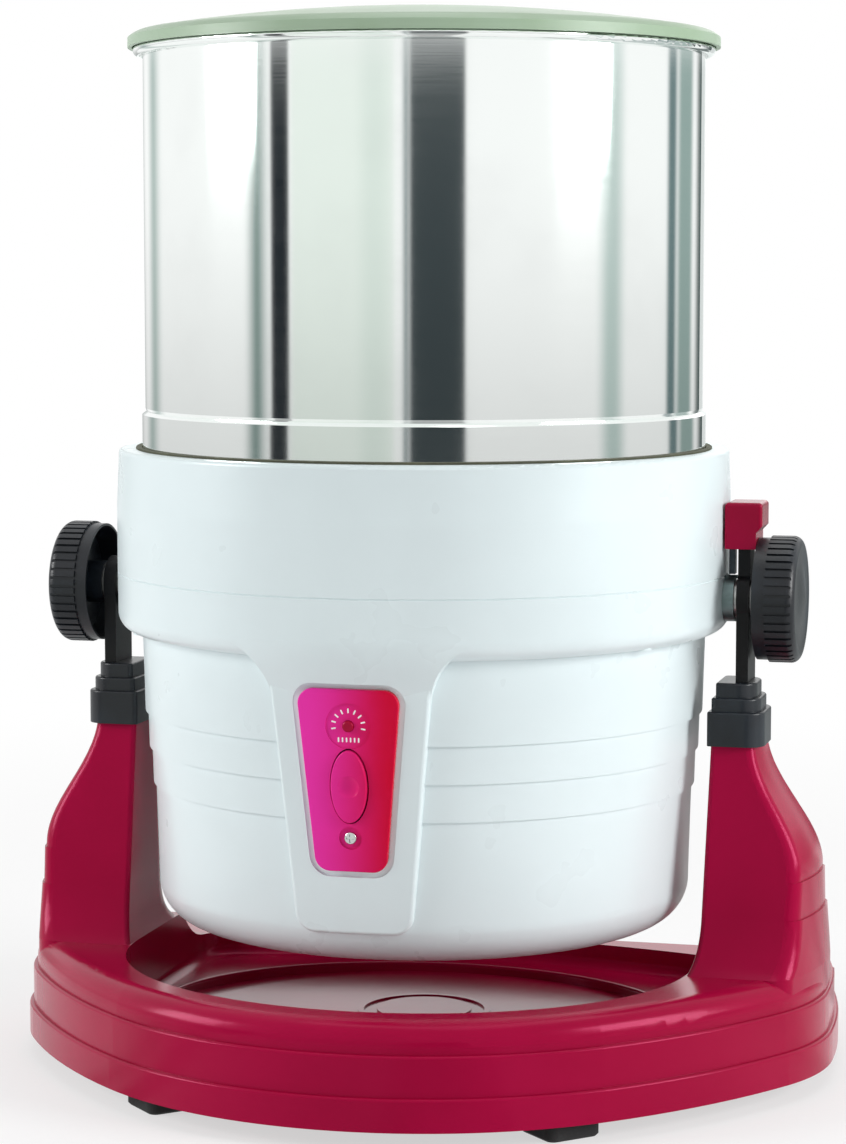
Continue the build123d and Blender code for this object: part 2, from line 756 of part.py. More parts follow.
with BuildPart() as bearing_housing:
    add_ring(Plane.XY.offset(housing_bottom), housing_radius, bearing_radius, housing_top - housing_bottom)
    add_ring(Plane.XY.offset(chassis_top), housing_flange_radius, bearing_radius, housing_flange_thickness)
    shoulder_bottom = lower_bearing_bottom + bearing_width
    add_ring(
        Plane.XY.offset(shoulder_bottom),
        bearing_radius + overrun, housing_shoulder_radius, upper_bearing_bottom - shoulder_bottom,
    )
    with BuildSketch(Plane.XY.offset(chassis_top)):
        with Locations(housing_screw_places):
            Circle(small_screw_radius + run_fit)
    extrude(amount=housing_flange_thickness, mode=Mode.SUBTRACT)
bearing_housing.part.label = "bearing_housing"
export_step(bearing_housing.part, "parts/bearing_housing.step")

with BuildPart() as drum_bearings:
    for bottom in (lower_bearing_bottom, upper_bearing_bottom):
        add_ring(Plane.XY.offset(bottom), bearing_radius - run_fit, sleeve_radius + run_fit, bearing_width)
        for face in (bottom, bottom + bearing_width - shield_depth):
            face_plane = Plane.XY.offset(face)
            add_ring(face_plane, shield_outer_radius, shield_inner_radius, shield_depth, mode=Mode.SUBTRACT)
drum_bearings.part.label = "drum_bearings"
export_step(drum_bearings.part, "parts/drum_bearings.step")

# Lower shell: a wide band, a ledge and a body that steps in three times
band_bottom_radius = 126.8
band_bottom = 190.5
ledge_height = 183.0
ledge_outer_radius = 119.5
ledge_inner_radius = 116.9
body_top = 182.4
body_taper_share = 0.028
body_steps = (149.5, 134.5, 119.5)
body_step = 1.15
body_side_bottom = 79.0
body_bottom = 62.0
body_bottom_round = 17.0
body_wall = 2.8
opening_radius = 80.0
opening_step_radius = 75.0
opening_step_height = 2.5
seam_edge = 0.4


def body_radius(height):
    """Outer radius of the lower shell's body at a height."""
    steps_passed = sum(1 for step in body_steps if height < step)
    return ledge_inner_radius - body_taper_share * (body_top - height) - body_step * steps_passed


# Screws that hold the bottom cover in the lower shell's opening
cover_screw_ring = 77.4
cover_screw_radius = 1.3
cover_screw_head_radius = 2.1
cover_screw_head_height = 1.1
cover_screw_recess = 1.3
cover_screw_places = ring_places(cover_screw_ring, 45)

# Front apron, seen from the front, the rounder surface that its face follows,
# and the sweep that carries its face up into the wide band
apron_neck_drop = 23.7       # from the wide band down to where the sides start to flare
apron_neck_half_width = 31.5
apron_waist_drop = 60.5
apron_waist_half_width = 28.0
apron_bottom = 75.0
apron_bottom_half_width = 23.0
apron_face_centre_y = 62.0
apron_face_taper = 7.9
apron_sweep_drop = 27.0
apron_sweep_lean_share = 0.1    # so that the sweep passes just inside the band's rounded foot
apron_depth = 20.0
apron_sweep_inset = 1.8
apron_sweep_start = ledge_outer_radius - apron_sweep_inset
apron_neck_height = band_bottom - apron_neck_drop
apron_waist_height = band_bottom - apron_waist_drop
apron_side_lean = math.atan2(
    apron_neck_height - apron_waist_height, apron_neck_half_width - apron_waist_half_width
)
apron_flare_half_width = apron_neck_half_width + apron_neck_drop / math.tan(apron_side_lean / 2)
apron_face_top_radius = apron_face_centre_y + ledge_outer_radius
apron_face_bottom_radius = apron_face_top_radius - apron_face_taper
apron_edge_round = 1.6
apron_foot_round = 8.0

# Control panel, square to the apron's face
panel_height = 135.8
panel_face_y = -116.4
panel_tilt = 3.9             # degrees
panel_half_height = 35.8
panel_top_half_width = 20.6
panel_bottom_half_width = 14.0
panel_round = 6.0
panel_thickness = 2.2
panel_margin = 2.4
panel_plane = Plane(
    origin=(0, panel_face_y, panel_height),
    x_dir=(1, 0, 0),
    z_dir=(0, -math.cos(math.radians(panel_tilt)), -math.sin(math.radians(panel_tilt))),
)
key_y = -2.1                 # places on the panel are measured from its middle
key_half_height = 14.2
key_half_width = 7.2
key_gap = 0.6
key_depth = 6.5
key_proud = 1.4
key_edge = 0.7
key_axis_depth = 4.0
dimple_radius = 4.3
dimple_depth = 1.2
key_pin_radius = 1.2
key_pin_half_length = 9.8
disc_y = 21.5
disc_radius = 9.0
disc_recess = 0.5
button_radius = 2.2
button_proud = 1.0
button_travel = 2.0
button_length = 9.0
panel_screw_y = -22.5
panel_screw_recess_radius = 4.5
panel_screw_recess = 1.0
panel_screw_head_radius = 2.4
panel_screw_head_height = 1.3
panel_screw_radius = 1.5
panel_screw_length = 13.0
panel_boss_radius = 4.0
switch_half_width = 10.5
switch_half_height = 17.4
switch_wall = 2.2
switch_depth = 24.0
switch_well_depth = 9.5
breaker_radius = 5.0
breaker_depth = 22.0
panel_back = panel_plane.offset(-panel_thickness)

# Cable gland at the back left
gland_turn = 132.0           # degrees from the right-hand pivot
gland_height = 96.0
gland_radius = 6.5
gland_flange_radius = 9.0
gland_flange_thickness = 3.0
gland_length = 12.0
gland_bore = 3.6
gland_nut_radius = 9.0
gland_nut_thickness = 4.0
gland_nose_length = 6.0
gland_edge = 0.8
gland_direction = Vector(math.cos(math.radians(gland_turn)), math.sin(math.radians(gland_turn)), 0)
gland_seat = gland_direction * (body_radius(gland_height) + seat_gap) + Vector(0, 0, gland_height)
gland_plane = Plane(gland_seat, z_dir=gland_direction)


def panel_outline(margin):
    """The control panel's outline, drawn out by a margin."""
    with BuildSketch() as outline:
        with BuildLine():
            Polyline(
                (-panel_top_half_width, panel_half_height),
                (panel_top_half_width, panel_half_height),
                (panel_bottom_half_width, -panel_half_height),
                (-panel_bottom_half_width, -panel_half_height),
                close=True,
            )
        make_face()
        fillet(outline.vertices(), radius=panel_round)
        if margin > 0:
            offset(amount=margin)
    return outline.sketch


with BuildPart() as apron_block:
    with BuildSketch(Plane.XZ.offset(body_radius(apron_neck_height) - apron_depth)) as front:
        with BuildLine():
            side_line = Polyline(
                (apron_bottom_half_width, apron_bottom),
                (apron_waist_half_width, apron_waist_height),
                (apron_neck_half_width, apron_neck_height),
            )
            flare = TangentArc(side_line @ 1, (apron_flare_half_width, band_bottom), tangent=side_line % 1)
            Line(flare @ 1, (0, band_bottom))
            Line((0, apron_bottom), side_line @ 0)
            mirror(about=Plane.YZ)
        make_face()
        fillet(front.vertices().group_by(Axis.Y)[0], radius=apron_foot_round)
    extrude(amount=2 * apron_depth)
    with BuildSketch(Plane.XZ):
        with BuildLine():
            Polyline(
                (0, apron_bottom - overrun),
                (body_radius(body_side_bottom) - body_wall, apron_bottom - overrun),
                (ledge_inner_radius - body_wall, body_top),
                (ledge_inner_radius - body_wall, band_bottom + overrun),
                (0, band_bottom + overrun),
                close=True,
            )
        make_face()
    revolve(axis=Axis.Z, mode=Mode.SUBTRACT)

with BuildPart() as apron_sweep:
    with BuildSketch(Plane.XZ):
        with BuildLine():
            sweep_bottom = band_bottom - apron_sweep_drop
            sweep_line = Spline(
                (apron_sweep_start, sweep_bottom), (band_bottom_radius, band_bottom),
                tangents=[(apron_face_taper, band_bottom - apron_bottom), (apron_sweep_lean_share, 1)],
            )
            Polyline(sweep_line @ 1, (0, band_bottom), (0, sweep_bottom), sweep_line @ 0)
        make_face()
    revolve(axis=Axis.Z)
    add(apron_block.part, mode=Mode.INTERSECT)

with BuildPart() as apron:
    add(apron_block.part)
    with BuildSketch(Plane.XZ.offset(-apron_face_centre_y)):
        with BuildLine():
            Polyline(
                (0, apron_bottom - overrun),
                (apron_face_bottom_radius, apron_bottom - overrun),
                (apron_face_top_radius, band_bottom),
                (0, band_bottom),
                close=True,
            )
        make_face()
    revolve(axis=Axis((0, apron_face_centre_y, 0), (0, 0, 1)), mode=Mode.INTERSECT)
    face_edges = edges().filter_by(
        lambda edge: edge.center().Y < apron_face_centre_y + body_wall / 2 - apron_face_bottom_radius
        and edge.center().Z < band_bottom - apron_edge_round
        and edge.geom_type != GeomType.LINE
    )
    fillet(face_edges, radius=apron_edge_round)
    add(apron_sweep.part)

with BuildPart() as lower_shell:
    with BuildSketch(Plane.XZ):
        with BuildLine():
            body_points = [(ledge_outer_radius, ledge_height), (ledge_inner_radius, body_top)]
            for step_height in body_steps:
                body_points.append((body_radius(step_height), step_height))
                body_points.append((body_radius(step_height) - body_step, step_height))
            body_points.append((body_radius(body_side_bottom), body_side_bottom))
            side_wall = Polyline(*body_points)
            foot_radius = body_radius(body_side_bottom) - body_bottom_round
            RadiusArc(side_wall @ 1, (foot_radius, body_bottom), body_bottom_round)
            opening = Polyline(
                (foot_radius, body_bottom),
                (opening_radius, body_bottom),
                (opening_radius, body_bottom + opening_step_height),
                (opening_step_radius, body_bottom + opening_step_height),
                (opening_step_radius, body_bottom + 2 * opening_step_height),
                (foot_radius, body_bottom + 2 * opening_step_height),
            )
            inner_foot = (body_radius(body_side_bottom) - body_wall, body_side_bottom)
            inner_corner = RadiusArc(opening @ 1, inner_foot, -(body_bottom_round - body_wall))
            Polyline(
                inner_corner @ 1,
                (body_radius(body_steps[-1]) - body_step - body_wall, body_steps[-1]),
                (ledge_inner_radius - body_wall, body_top),
                (ledge_inner_radius - body_wall, ledge_inner_height),
                (shell_inner_radius, ledge_inner_height),
                (shell_inner_radius, shell_seam),
                (shell_radius - seam_edge, shell_seam),
                (shell_radius, shell_seam - seam_edge),
                (band_bottom_radius, band_bottom),
            )
            TangentArc((band_bottom_radius, band_bottom), side_wall @ 0, tangent=(0, -1))
        make_face()
    revolve(axis=Axis.Z)
    add(apron.part)
    # Posts under the chassis plate
    with BuildSketch(Plane.XY.offset(ledge_height)):
        with Locations(lower_post_places):
            Circle(lower_post_radius)
    extrude(amount=chassis_bottom - ledge_height)
    with BuildSketch(Plane.XY.offset(chassis_bottom)):
        with Locations(lower_post_places):
            Circle(small_screw_radius + run_fit)
    extrude(amount=-small_screw_length, mode=Mode.SUBTRACT)
    pivot_line = Plane((-shell_radius - overrun, 0, pivot_height), z_dir=(1, 0, 0))
    add_ring(pivot_line, boss_radius + seat_gap, 0, 2 * (shell_radius + overrun), mode=Mode.SUBTRACT)
    # Seat for the control panel with the openings behind it
    with BuildSketch(panel_back):
        add(panel_outline(panel_margin))
    extrude(amount=apron_depth, mode=Mode.SUBTRACT)
    with BuildSketch(panel_back):
        with Locations((0, panel_screw_y)):
            Circle(panel_boss_radius)
    extrude(amount=-panel_screw_length)
    with BuildSketch(panel_back):
        with Locations((0, key_y)):
            Rectangle(2 * (switch_half_width + seat_gap), 2 * (switch_half_height + seat_gap))
        with Locations((0, disc_y)):
            Circle(breaker_radius + seat_gap)
    extrude(amount=-apron_depth, mode=Mode.SUBTRACT)
    with BuildSketch(panel_back):
        with Locations((0, panel_screw_y)):
            Circle(panel_screw_radius + run_fit)
    extrude(amount=-panel_screw_length, mode=Mode.SUBTRACT)
    # Cable gland hole, screw holes in the bottom step
    with BuildSketch(Plane.XY.offset(body_bottom)):
        with Locations(cover_screw_places):
            Circle(cover_screw_radius + run_fit)
    extrude(amount=2 * opening_step_height, mode=Mode.SUBTRACT)
    add_ring(
        gland_plane.offset(-gland_length), gland_radius + run_fit, 0, 2 * gland_length, mode=Mode.SUBTRACT
    )
lower_shell.part.label = "lower_shell"
export_step(lower_shell.part, "parts/lower_shell.step")

# Upper shell and the seal round its mouth
upper_band_top = 235.0
shell_top_radius = 126.0
shell_top_round = 1.6
mouth_radius = 118.2
seal_flange_radius = 119.0
seal_thickness = 0.8
seal_round = 0.3
seal_collar_depth = 2.8

with BuildPart() as upper_shell:
    with BuildSketch(Plane.XZ):
        with BuildLine():
            Polyline(
                (shell_inner_radius, shell_seam),
                (shell_radius - seam_edge, shell_seam),
                (shell_radius, shell_seam + seam_edge),
                (shell_radius, upper_band_top),
                (shell_top_radius, shell_top),
                (mouth_radius, shell_top),
                (mouth_radius, shell_top - shell_wall),
                (shell_inner_radius - (shell_radius - shell_top_radius), shell_top - shell_wall),
                (shell_inner_radius, upper_band_top),
                close=True,
            )
        make_face()
    revolve(axis=Axis.Z)
    fillet(
        edges().filter_by(GeomType.CIRCLE).group_by(Axis.Z)[-1].sort_by(SortBy.RADIUS)[-1],
        radius=shell_top_round,
    )
    # Screw posts against the wall
    web_outer = shell_inner_radius + shell_wall / 2
    with BuildSketch(Plane.XY.offset(chassis_top)):
        with Locations(upper_post_places):
            Circle(upper_post_radius)
    extrude(amount=shell_top - shell_wall - chassis_top)
    with BuildSketch(Plane.XY.offset(shell_seam)):
        for x, y in upper_post_places:
            turn = math.degrees(math.atan2(y, x))
            with PolarLocations((upper_post_ring + web_outer) / 2, 1, start_angle=turn):
                Rectangle(web_outer - upper_post_ring, upper_post_radius)
    extrude(amount=shell_top - shell_wall - shell_seam)
    with BuildSketch(Plane.XY.offset(chassis_top)):
        with Locations(upper_post_places):
            Circle(small_screw_radius + run_fit)
    extrude(amount=small_screw_length, mode=Mode.SUBTRACT)
    pivot_line = Plane((-shell_radius - overrun, 0, pivot_height), z_dir=(1, 0, 0))
    add_ring(pivot_line, boss_radius + seat_gap, 0, 2 * (shell_radius + overrun), mode=Mode.SUBTRACT)
upper_shell.part.label = "upper_shell"
export_step(upper_shell.part, "parts/upper_shell.step")

with BuildPart() as drum_seal:
    seal_inner = drum_band_radius + seat_gap
    add_ring(Plane.XY.offset(shell_top), seal_flange_radius, seal_inner, seal_thickness)
    fillet(edges().group_by(Axis.Z)[-1], radius=seal_round)
    add_ring(Plane.XY.offset(shell_top), mouth_radius - seat_gap, seal_inner, -seal_collar_depth)
drum_seal.part.label = "drum_seal"
export_step(drum_seal.part, "parts/drum_seal.step")

# Bottom cover with its vents, the hub cover under it and the capacitor that stands on it
hub_cover_radius = 25.0
hub_cover_drop = 12.0
hub_cover_round = 3.0
hub_cover_wall = 2.5
hub_spigot_radius = 18.0
hub_spigot_height = 5.0
vent_ring = 50.0
vent_count = 15
vent_first_angle = 25.0
vent_range = 130.0
vent_length = 28.0
vent_width = 3.4
capacitor_x = -50.0
capacitor_radius = 16.0
capacitor_height = 52.0
capacitor_round = 1.5
capacitor_cup_wall = 2.0
capacitor_cup_height = 14.0
tab_spacing = 8.0
tab_half_width = 3.0
tab_thickness = 0.8
tab_length = 8.0
cover_plane = Plane.XY.offset(body_bottom)

with BuildPart() as bottom_cover:
    add_ring(cover_plane, opening_radius - seat_gap, hub_spigot_radius + run_fit, opening_step_height)
    with BuildSketch(cover_plane):
        with PolarLocations(vent_ring, vent_count, start_angle=vent_first_angle, angular_range=vent_range):
            SlotOverall(vent_length, vent_width)
    extrude(amount=opening_step_height, mode=Mode.SUBTRACT)
    with BuildSketch(cover_plane):
        with Locations(cover_screw_places):
            Circle(cover_screw_head_radius + slide_fit)
    extrude(amount=cover_screw_recess, mode=Mode.SUBTRACT)
    with BuildSketch(cover_plane):
        with Locations(cover_screw_places):
            Circle(cover_screw_radius + run_fit)
    extrude(amount=opening_step_height, mode=Mode.SUBTRACT)
    capacitor_seat = Plane((capacitor_x, 0, body_bottom + opening_step_height))
    cup_inner = capacitor_radius + slide_fit
    add_ring(capacitor_seat, cup_inner + capacitor_cup_wall, cup_inner, capacitor_cup_height)
bottom_cover.part.label = "bottom_cover"
export_step(bottom_cover.part, "parts/bottom_cover.step")

with BuildPart() as cover_screws:
    for x, y in cover_screw_places:
        seat = Plane((x, y, body_bottom + cover_screw_recess))
        add_ring(seat, cover_screw_head_radius, 0, -cover_screw_head_height)
        add_ring(seat, cover_screw_radius, 0, 2 * opening_step_height - cover_screw_recess)
cover_screws.part.label = "cover_screws"
export_step(cover_screws.part, "parts/cover_screws.step")

with BuildPart() as hub_cover:
    add_ring(cover_plane, hub_cover_radius, 0, -hub_cover_drop)
    fillet(edges().group_by(Axis.Z)[0], radius=hub_cover_round)
    add_ring(cover_plane, hub_spigot_radius, 0, hub_spigot_height)
    add_ring(
        Plane.XY.offset(body_bottom - hub_cover_drop + hub_cover_wall),
        hub_spigot_radius - hub_cover_wall, 0, hub_cover_drop + hub_spigot_height, mode=Mode.SUBTRACT,
    )
hub_cover.part.label = "hub_cover"
export_step(hub_cover.part, "parts/hub_cover.step")

with BuildPart() as run_capacitor:
    add_ring(capacitor_seat, capacitor_radius, 0, capacitor_height)
    fillet(edges().filter_by(GeomType.CIRCLE), radius=capacitor_round)
    capacitor_top = capacitor_seat.origin.Z + capacitor_height
    for side in (-1, 1):
        tab_x = capacitor_x + side * tab_spacing / 2
        add_box(
            (tab_x - tab_thickness / 2, -tab_half_width, capacitor_top),
            (tab_x + tab_thickness / 2, tab_half_width, capacitor_top + tab_length),
        )
run_capacitor.part.label = "run_capacitor"
export_step(run_capacitor.part, "parts/run_capacitor.step")

with BuildPart() as cord_gland:
    add_ring(gland_plane, gland_flange_radius, gland_bore, gland_flange_thickness)
    add_ring(gland_plane.offset(gland_flange_thickness), gland_radius, gland_bore, gland_nose_length)
    chamfer(faces().sort_by(Axis(gland_seat, gland_direction))[-1].edges(), length=gland_edge)
    add_ring(gland_plane, gland_radius, gland_bore, -gland_length)
    nut_face = body_wall + 3 * seat_gap
    add_ring(gland_plane.offset(-nut_face), gland_nut_radius, gland_radius + run_fit, -gland_nut_thickness)
cord_gland.part.label = "cord_gland"
export_step(cord_gland.part, "parts/cord_gland.step")

# Small sizes of the control panel's pieces
panel_edge_round = 0.5
cross_length = 3.2
cross_width = 0.8
cross_depth = 0.7
button_round = 0.7
button_flange_radius = 3.2
button_flange_thickness = 1.0
panel_out = Axis(panel_plane.origin, panel_plane.z_dir)
with BuildPart() as control_panel:
    with BuildSketch(panel_back):
        add(panel_outline(0))
    extrude(amount=panel_thickness)
    fillet(faces().sort_by(panel_out)[-1].edges(), radius=panel_edge_round)
    with BuildSketch(panel_plane):
        with Locations((0, disc_y)):
            Circle(disc_radius)
    extrude(amount=-disc_recess, mode=Mode.SUBTRACT)
    with BuildSketch(panel_plane):
        with Locations((0, panel_screw_y)):
            Circle(panel_screw_recess_radius)
    extrude(amount=-panel_screw_recess, mode=Mode.SUBTRACT)
    with BuildSketch(panel_plane):
        with Locations((0, key_y)):
            Ellipse(key_half_width + key_gap, key_half_height + key_gap)
        with Locations((0, disc_y)):
            Circle(button_radius + slide_fit)
        with Locations((0, panel_screw_y)):
            Circle(panel_screw_radius + run_fit)
    extrude(amount=-panel_thickness, mode=Mode.SUBTRACT)
control_panel.part.label = "control_panel"
export_step(control_panel.part, "parts/control_panel.step")

with BuildPart() as panel_screw:
    screw_seat = panel_plane.offset(-panel_screw_recess)
    with BuildSketch(screw_seat):
        with Locations((0, panel_screw_y)):
            Circle(panel_screw_head_radius)
    extrude(amount=panel_screw_head_height)
    fillet(faces().sort_by(panel_out)[-1].edges(), radius=panel_screw_recess / 2)
    with BuildSketch(screw_seat.offset(panel_screw_head_height)):
        with Locations((0, panel_screw_y)):
            Rectangle(cross_length, cross_width)
            Rectangle(cross_width, cross_length)
    extrude(amount=-cross_depth, mode=Mode.SUBTRACT)
    with BuildSketch(screw_seat):
        with Locations((0, panel_screw_y)):
            Circle(panel_screw_radius)
    extrude(amount=-panel_screw_length)
panel_screw.part.label = "panel_screw"
export_step(panel_screw.part, "parts/panel_screw.step")

with BuildPart() as switch_body:
    with BuildSketch(panel_back):
        with Locations((0, key_y)):
            Rectangle(2 * switch_half_width, 2 * switch_half_height)
    extrude(amount=-switch_depth)
    with BuildSketch(panel_back):
        with Locations((0, key_y)):
            Rectangle(2 * (switch_half_width - switch_wall), 2 * (switch_half_height - switch_wall))
    extrude(amount=-switch_well_depth, mode=Mode.SUBTRACT)
    with BuildSketch(panel_back.offset(-switch_depth)):
        with GridLocations(tab_spacing, tab_spacing, 1, 3):
            with Locations((0, key_y)):
                Rectangle(2 * tab_half_width, tab_thickness)
    extrude(amount=-tab_length)
    pin_centre = panel_plane.offset(-key_axis_depth).from_local_coords(Vector(0, key_y, 0))
    pin_plane = Plane(pin_centre, z_dir=(1, 0, 0)).offset(-switch_half_width)
    add_ring(pin_plane, key_pin_radius + run_fit, 0, 2 * switch_half_width, mode=Mode.SUBTRACT)
switch_body.part.label = "switch_body"
export_step(switch_body.part, "parts/switch_body.step")

with BuildPart() as rocker_key:
    with BuildSketch(panel_plane.offset(-key_depth)):
        with Locations((0, key_y)):
            Ellipse(key_half_width, key_half_height)
    extrude(amount=key_depth + key_proud)
    fillet(faces().sort_by(panel_out)[-1].edges(), radius=key_edge)
    dimple_sphere = (dimple_radius ** 2 + dimple_depth ** 2) / (2 * dimple_depth)
    dimple_plane = panel_plane.offset(key_proud + dimple_sphere - dimple_depth)
    dimple_centre = dimple_plane.from_local_coords(Vector(0, key_y, 0))
    with Locations(dimple_centre):
        Sphere(dimple_sphere, mode=Mode.SUBTRACT)
    add_ring(pin_plane, key_pin_radius + run_fit, 0, 2 * switch_half_width, mode=Mode.SUBTRACT)
rocker_key.part.label = "rocker_key"
export_step(rocker_key.part, "parts/rocker_key.step")

with BuildPart() as rocker_pin:
    pin_end = Plane(pin_centre, z_dir=(1, 0, 0)).offset(-key_pin_half_length)
    add_ring(pin_end, key_pin_radius, 0, 2 * key_pin_half_length)
rocker_pin.part.label = "rocker_pin"
export_step(rocker_pin.part, "parts/rocker_pin.step")

button_centre = panel_plane.from_local_coords(Vector(0, disc_y, 0))
button_plane = Plane(button_centre, x_dir=(1, 0, 0), z_dir=panel_plane.z_dir)
breaker_plane = button_plane.offset(-panel_thickness)

with BuildPart() as overload_breaker:
    add_ring(breaker_plane, breaker_radius, 0, -breaker_depth)
    flange_room = button_flange_thickness + button_travel + 2 * seat_gap
    add_ring(breaker_plane, button_flange_radius + slide_fit, 0, -flange_room, mode=Mode.SUBTRACT)
    add_ring(
        breaker_plane, button_radius + slide_fit, 0, -(button_length + button_travel), mode=Mode.SUBTRACT
    )
    with BuildSketch(breaker_plane.offset(-breaker_depth)):
        with GridLocations(tab_spacing, tab_spacing, 1, 2):
            Rectangle(2 * tab_half_width, tab_thickness)
    extrude(amount=-tab_length)
overload_breaker.part.label = "overload_breaker"
export_step(overload_breaker.part, "parts/overload_breaker.step")

with BuildPart() as reset_button:
    add_ring(button_plane.offset(button_proud), button_radius, 0, -button_length)
    fillet(faces().sort_by(panel_out)[-1].edges(), radius=button_round)
    add_ring(breaker_plane.offset(-seat_gap), button_flange_radius, 0, -button_flange_thickness)
reset_button.part.label = "reset_button"
export_step(reset_button.part, "parts/reset_button.step")

# Fixed spindle on its bridge
spindle_top = 366.0
shaft_nut_radius = 13.0
shaft_nut_height = 8.0
shaft_collar_radius = 13.0
shaft_collar_height = 4.0

with BuildPart() as shaft_bridge:
    leg_outer = bridge_half_span + bridge_thickness
    bridge_bottom = bridge_top - bridge_thickness
    add_box((-leg_outer, -bridge_half_width, bridge_bottom), (leg_outer, bridge_half_width, bridge_top))
    for side in (-1, 1):
        near_x, far_x = sorted((side * bridge_half_span, side * leg_outer))
        add_box((near_x, -bridge_half_width, bridge_bottom), (far_x, bridge_half_width, chassis_bottom))
        near_x, far_x = sorted((side * bridge_half_span, side * bridge_flange_end))
        add_box(
            (near_x, -bridge_half_width, chassis_bottom - bridge_thickness),
            (far_x, bridge_half_width, chassis_bottom),
        )
    add_ring(
        Plane.XY.offset(bridge_bottom), spindle_radius + run_fit, 0, bridge_thickness, mode=Mode.SUBTRACT
    )
    with BuildSketch(Plane.XY.offset(chassis_bottom)):
        with Locations(bridge_screw_places):
            Circle(small_screw_radius + run_fit)
    extrude(amount=-bridge_thickness, mode=Mode.SUBTRACT)
shaft_bridge.part.label = "shaft_bridge"
export_step(shaft_bridge.part, "parts/shaft_bridge.step")

with BuildPart() as centre_shaft:
    shaft_foot = bridge_bottom - shaft_nut_height - overrun
    add_ring(Plane.XY.offset(shaft_foot), spindle_radius, 0, spindle_top - shaft_foot)
    chamfer(edges().group_by(Axis.Z)[-1], length=overrun)
    add_ring(Plane.XY.offset(bridge_top), shaft_collar_radius, 0, shaft_collar_height)
centre_shaft.part.label = "centre_shaft"
export_step(centre_shaft.part, "parts/centre_shaft.step")

with BuildPart() as shaft_nut:
    with BuildSketch(Plane.XY.offset(bridge_bottom)):
        RegularPolygon(shaft_nut_radius, 6)
        Circle(spindle_radius + run_fit, mode=Mode.SUBTRACT)
    extrude(amount=-shaft_nut_height)
shaft_nut.part.label = "shaft_nut"
export_step(shaft_nut.part, "parts/shaft_nut.step")

# Motor, hung from the chassis plate on four posts
bell_step = 1.5
bell_round = 4.0
bell_height = 18.0
post_pad_radius = 7.0
motor_shaft_bottom = 67.5
motor_shaft_top = 183.0
fan_bottom = 69.0
fan_radius = 28.0
fan_hub_radius = 8.0
fan_height = 8.0
fan_disc_thickness = 1.4
fan_blade_count = 9
fan_blade_thickness = 1.2
fan_blade_turn = 20.0

# Belt drive
belt_plane_height = 175.0
belt_width = 6.4
belt_thickness = 3.5
driven_groove_radius = 56.0
motor_groove_radius = 8.5
flange_depth = 3.0
flange_thickness = 1.5
pulley_collar_height = 6.0
pulley_hub_radius = 18.0
pulley_rim_wall = 5.0
pulley_web_thickness = 4.0
web_hole_ring = 35.0
web_hole_radius = 8.0
web_hole_count = 6
hub_nut_radius = 17.0
hub_nut_bottom = 157.5
hub_nut_height = 8.0

# Drum hub, drum and base stone
sleeve_wall = 3.4
hub_flange_radius = 40.0
hub_flange_thickness = 4.0
drive_pin_ring = 30.0
drive_pin_radius = 3.0
drive_pin_count = 3
drum_sheet = 1.2
drum_wall_radius = 115.0
drum_rim_radius = 119.0
rim_roll_radius = 2.3
drum_corner = 4.0
drum_tube_radius = 16.0
drum_tube_top = 303.0
groove_height = 273.0
groove_half_width = 1.3
groove_drop = 0.5
rim_centre_height = rim_top - rim_roll_radius
stone_top = 262.0
stone_radius = 100.0
stone_tube_gap = 1.5
stone_edge = 2.0

# Roller stones and the frame that holds them off the turning drum
roller_slope_share = 0.388   # sine of the cones' half angle
roller_inner_reach = 35.0
roller_outer_reach = 98.0
roller_bore = 8.2
roller_edge = 1.5
axle_radius = 5.0
axle_start = 22.0
axle_cap_radius = 9.0
axle_cap_thickness = 4.0
axle_boss_start = 19.0
axle_boss_radius = 8.0
frame_sleeve_radius = 20.5
frame_sleeve_inner = 17.0
sleeve_foot = 264.0
frame_cap_top = 310.0
frame_cap_thickness = 4.0
frame_hub_radius = 14.0
frame_hub_top = 328.0
wiper_thickness = 3.0
wiper_boss_half_width = 5.0
wiper_boss_bottom = 288.0
wiper_boss_end = 30.0
wiper_start = 22.5
wiper_top = 304.0
wiper_arm_height = 12.0
wiper_blade_width = 14.0
wiper_foot = 264.5
wiper_wall_gap = 0.6
wiper_round = 3.0

# Pressure spring and the nut that holds the frame down
spring_wire_radius = 1.2
spring_coil_radius = 11.0
spring_pitch = 5.0
nut_bottom = 350.0
nut_radius = 13.0
nut_lobe_radius = 3.5
nut_lobe_count = 6
nut_height = 19.0
nut_edge = 1.5

# Lid
lid_radius = 121.1
lid_skirt_bottom = 420.5
lid_edge_top = 424.4
lid_shoulder_radius = 116.0
lid_shoulder_height = 427.0
lid_top = 436.5
lid_wall = 2.0
lid_skirt_clearance = 0.4
lid_plug_depth = 11.0

with BuildPart() as motor_body:
    motor_foot = Plane((0, motor_y, motor_bottom))
    add_ring(motor_foot, motor_radius - bell_step, motor_shaft_radius + run_fit, motor_top - motor_bottom)
    fillet(
        edges().filter_by(GeomType.CIRCLE).group_by(Axis.Z)[0].sort_by(SortBy.RADIUS)[-1], radius=bell_round
    )
    stack_foot = Plane((0, motor_y, motor_bottom + bell_height))
    stack_height = motor_top - motor_bottom - 2 * bell_height
    add_ring(stack_foot, motor_radius, motor_radius - 2 * bell_step, stack_height)
    with BuildSketch(Plane.XY.offset(motor_top)):
        with Locations(post_places):
            Circle(post_pad_radius)
        make_hull()
        with Locations(post_places):
            Circle(post_bolt_radius + run_fit, mode=Mode.SUBTRACT)
        with Locations((0, motor_y)):
            Circle(motor_shaft_radius + run_fit, mode=Mode.SUBTRACT)
    extrude(amount=motor_plate_thickness)
motor_body.part.label = "motor_body"
export_step(motor_body.part, "parts/motor_body.step")

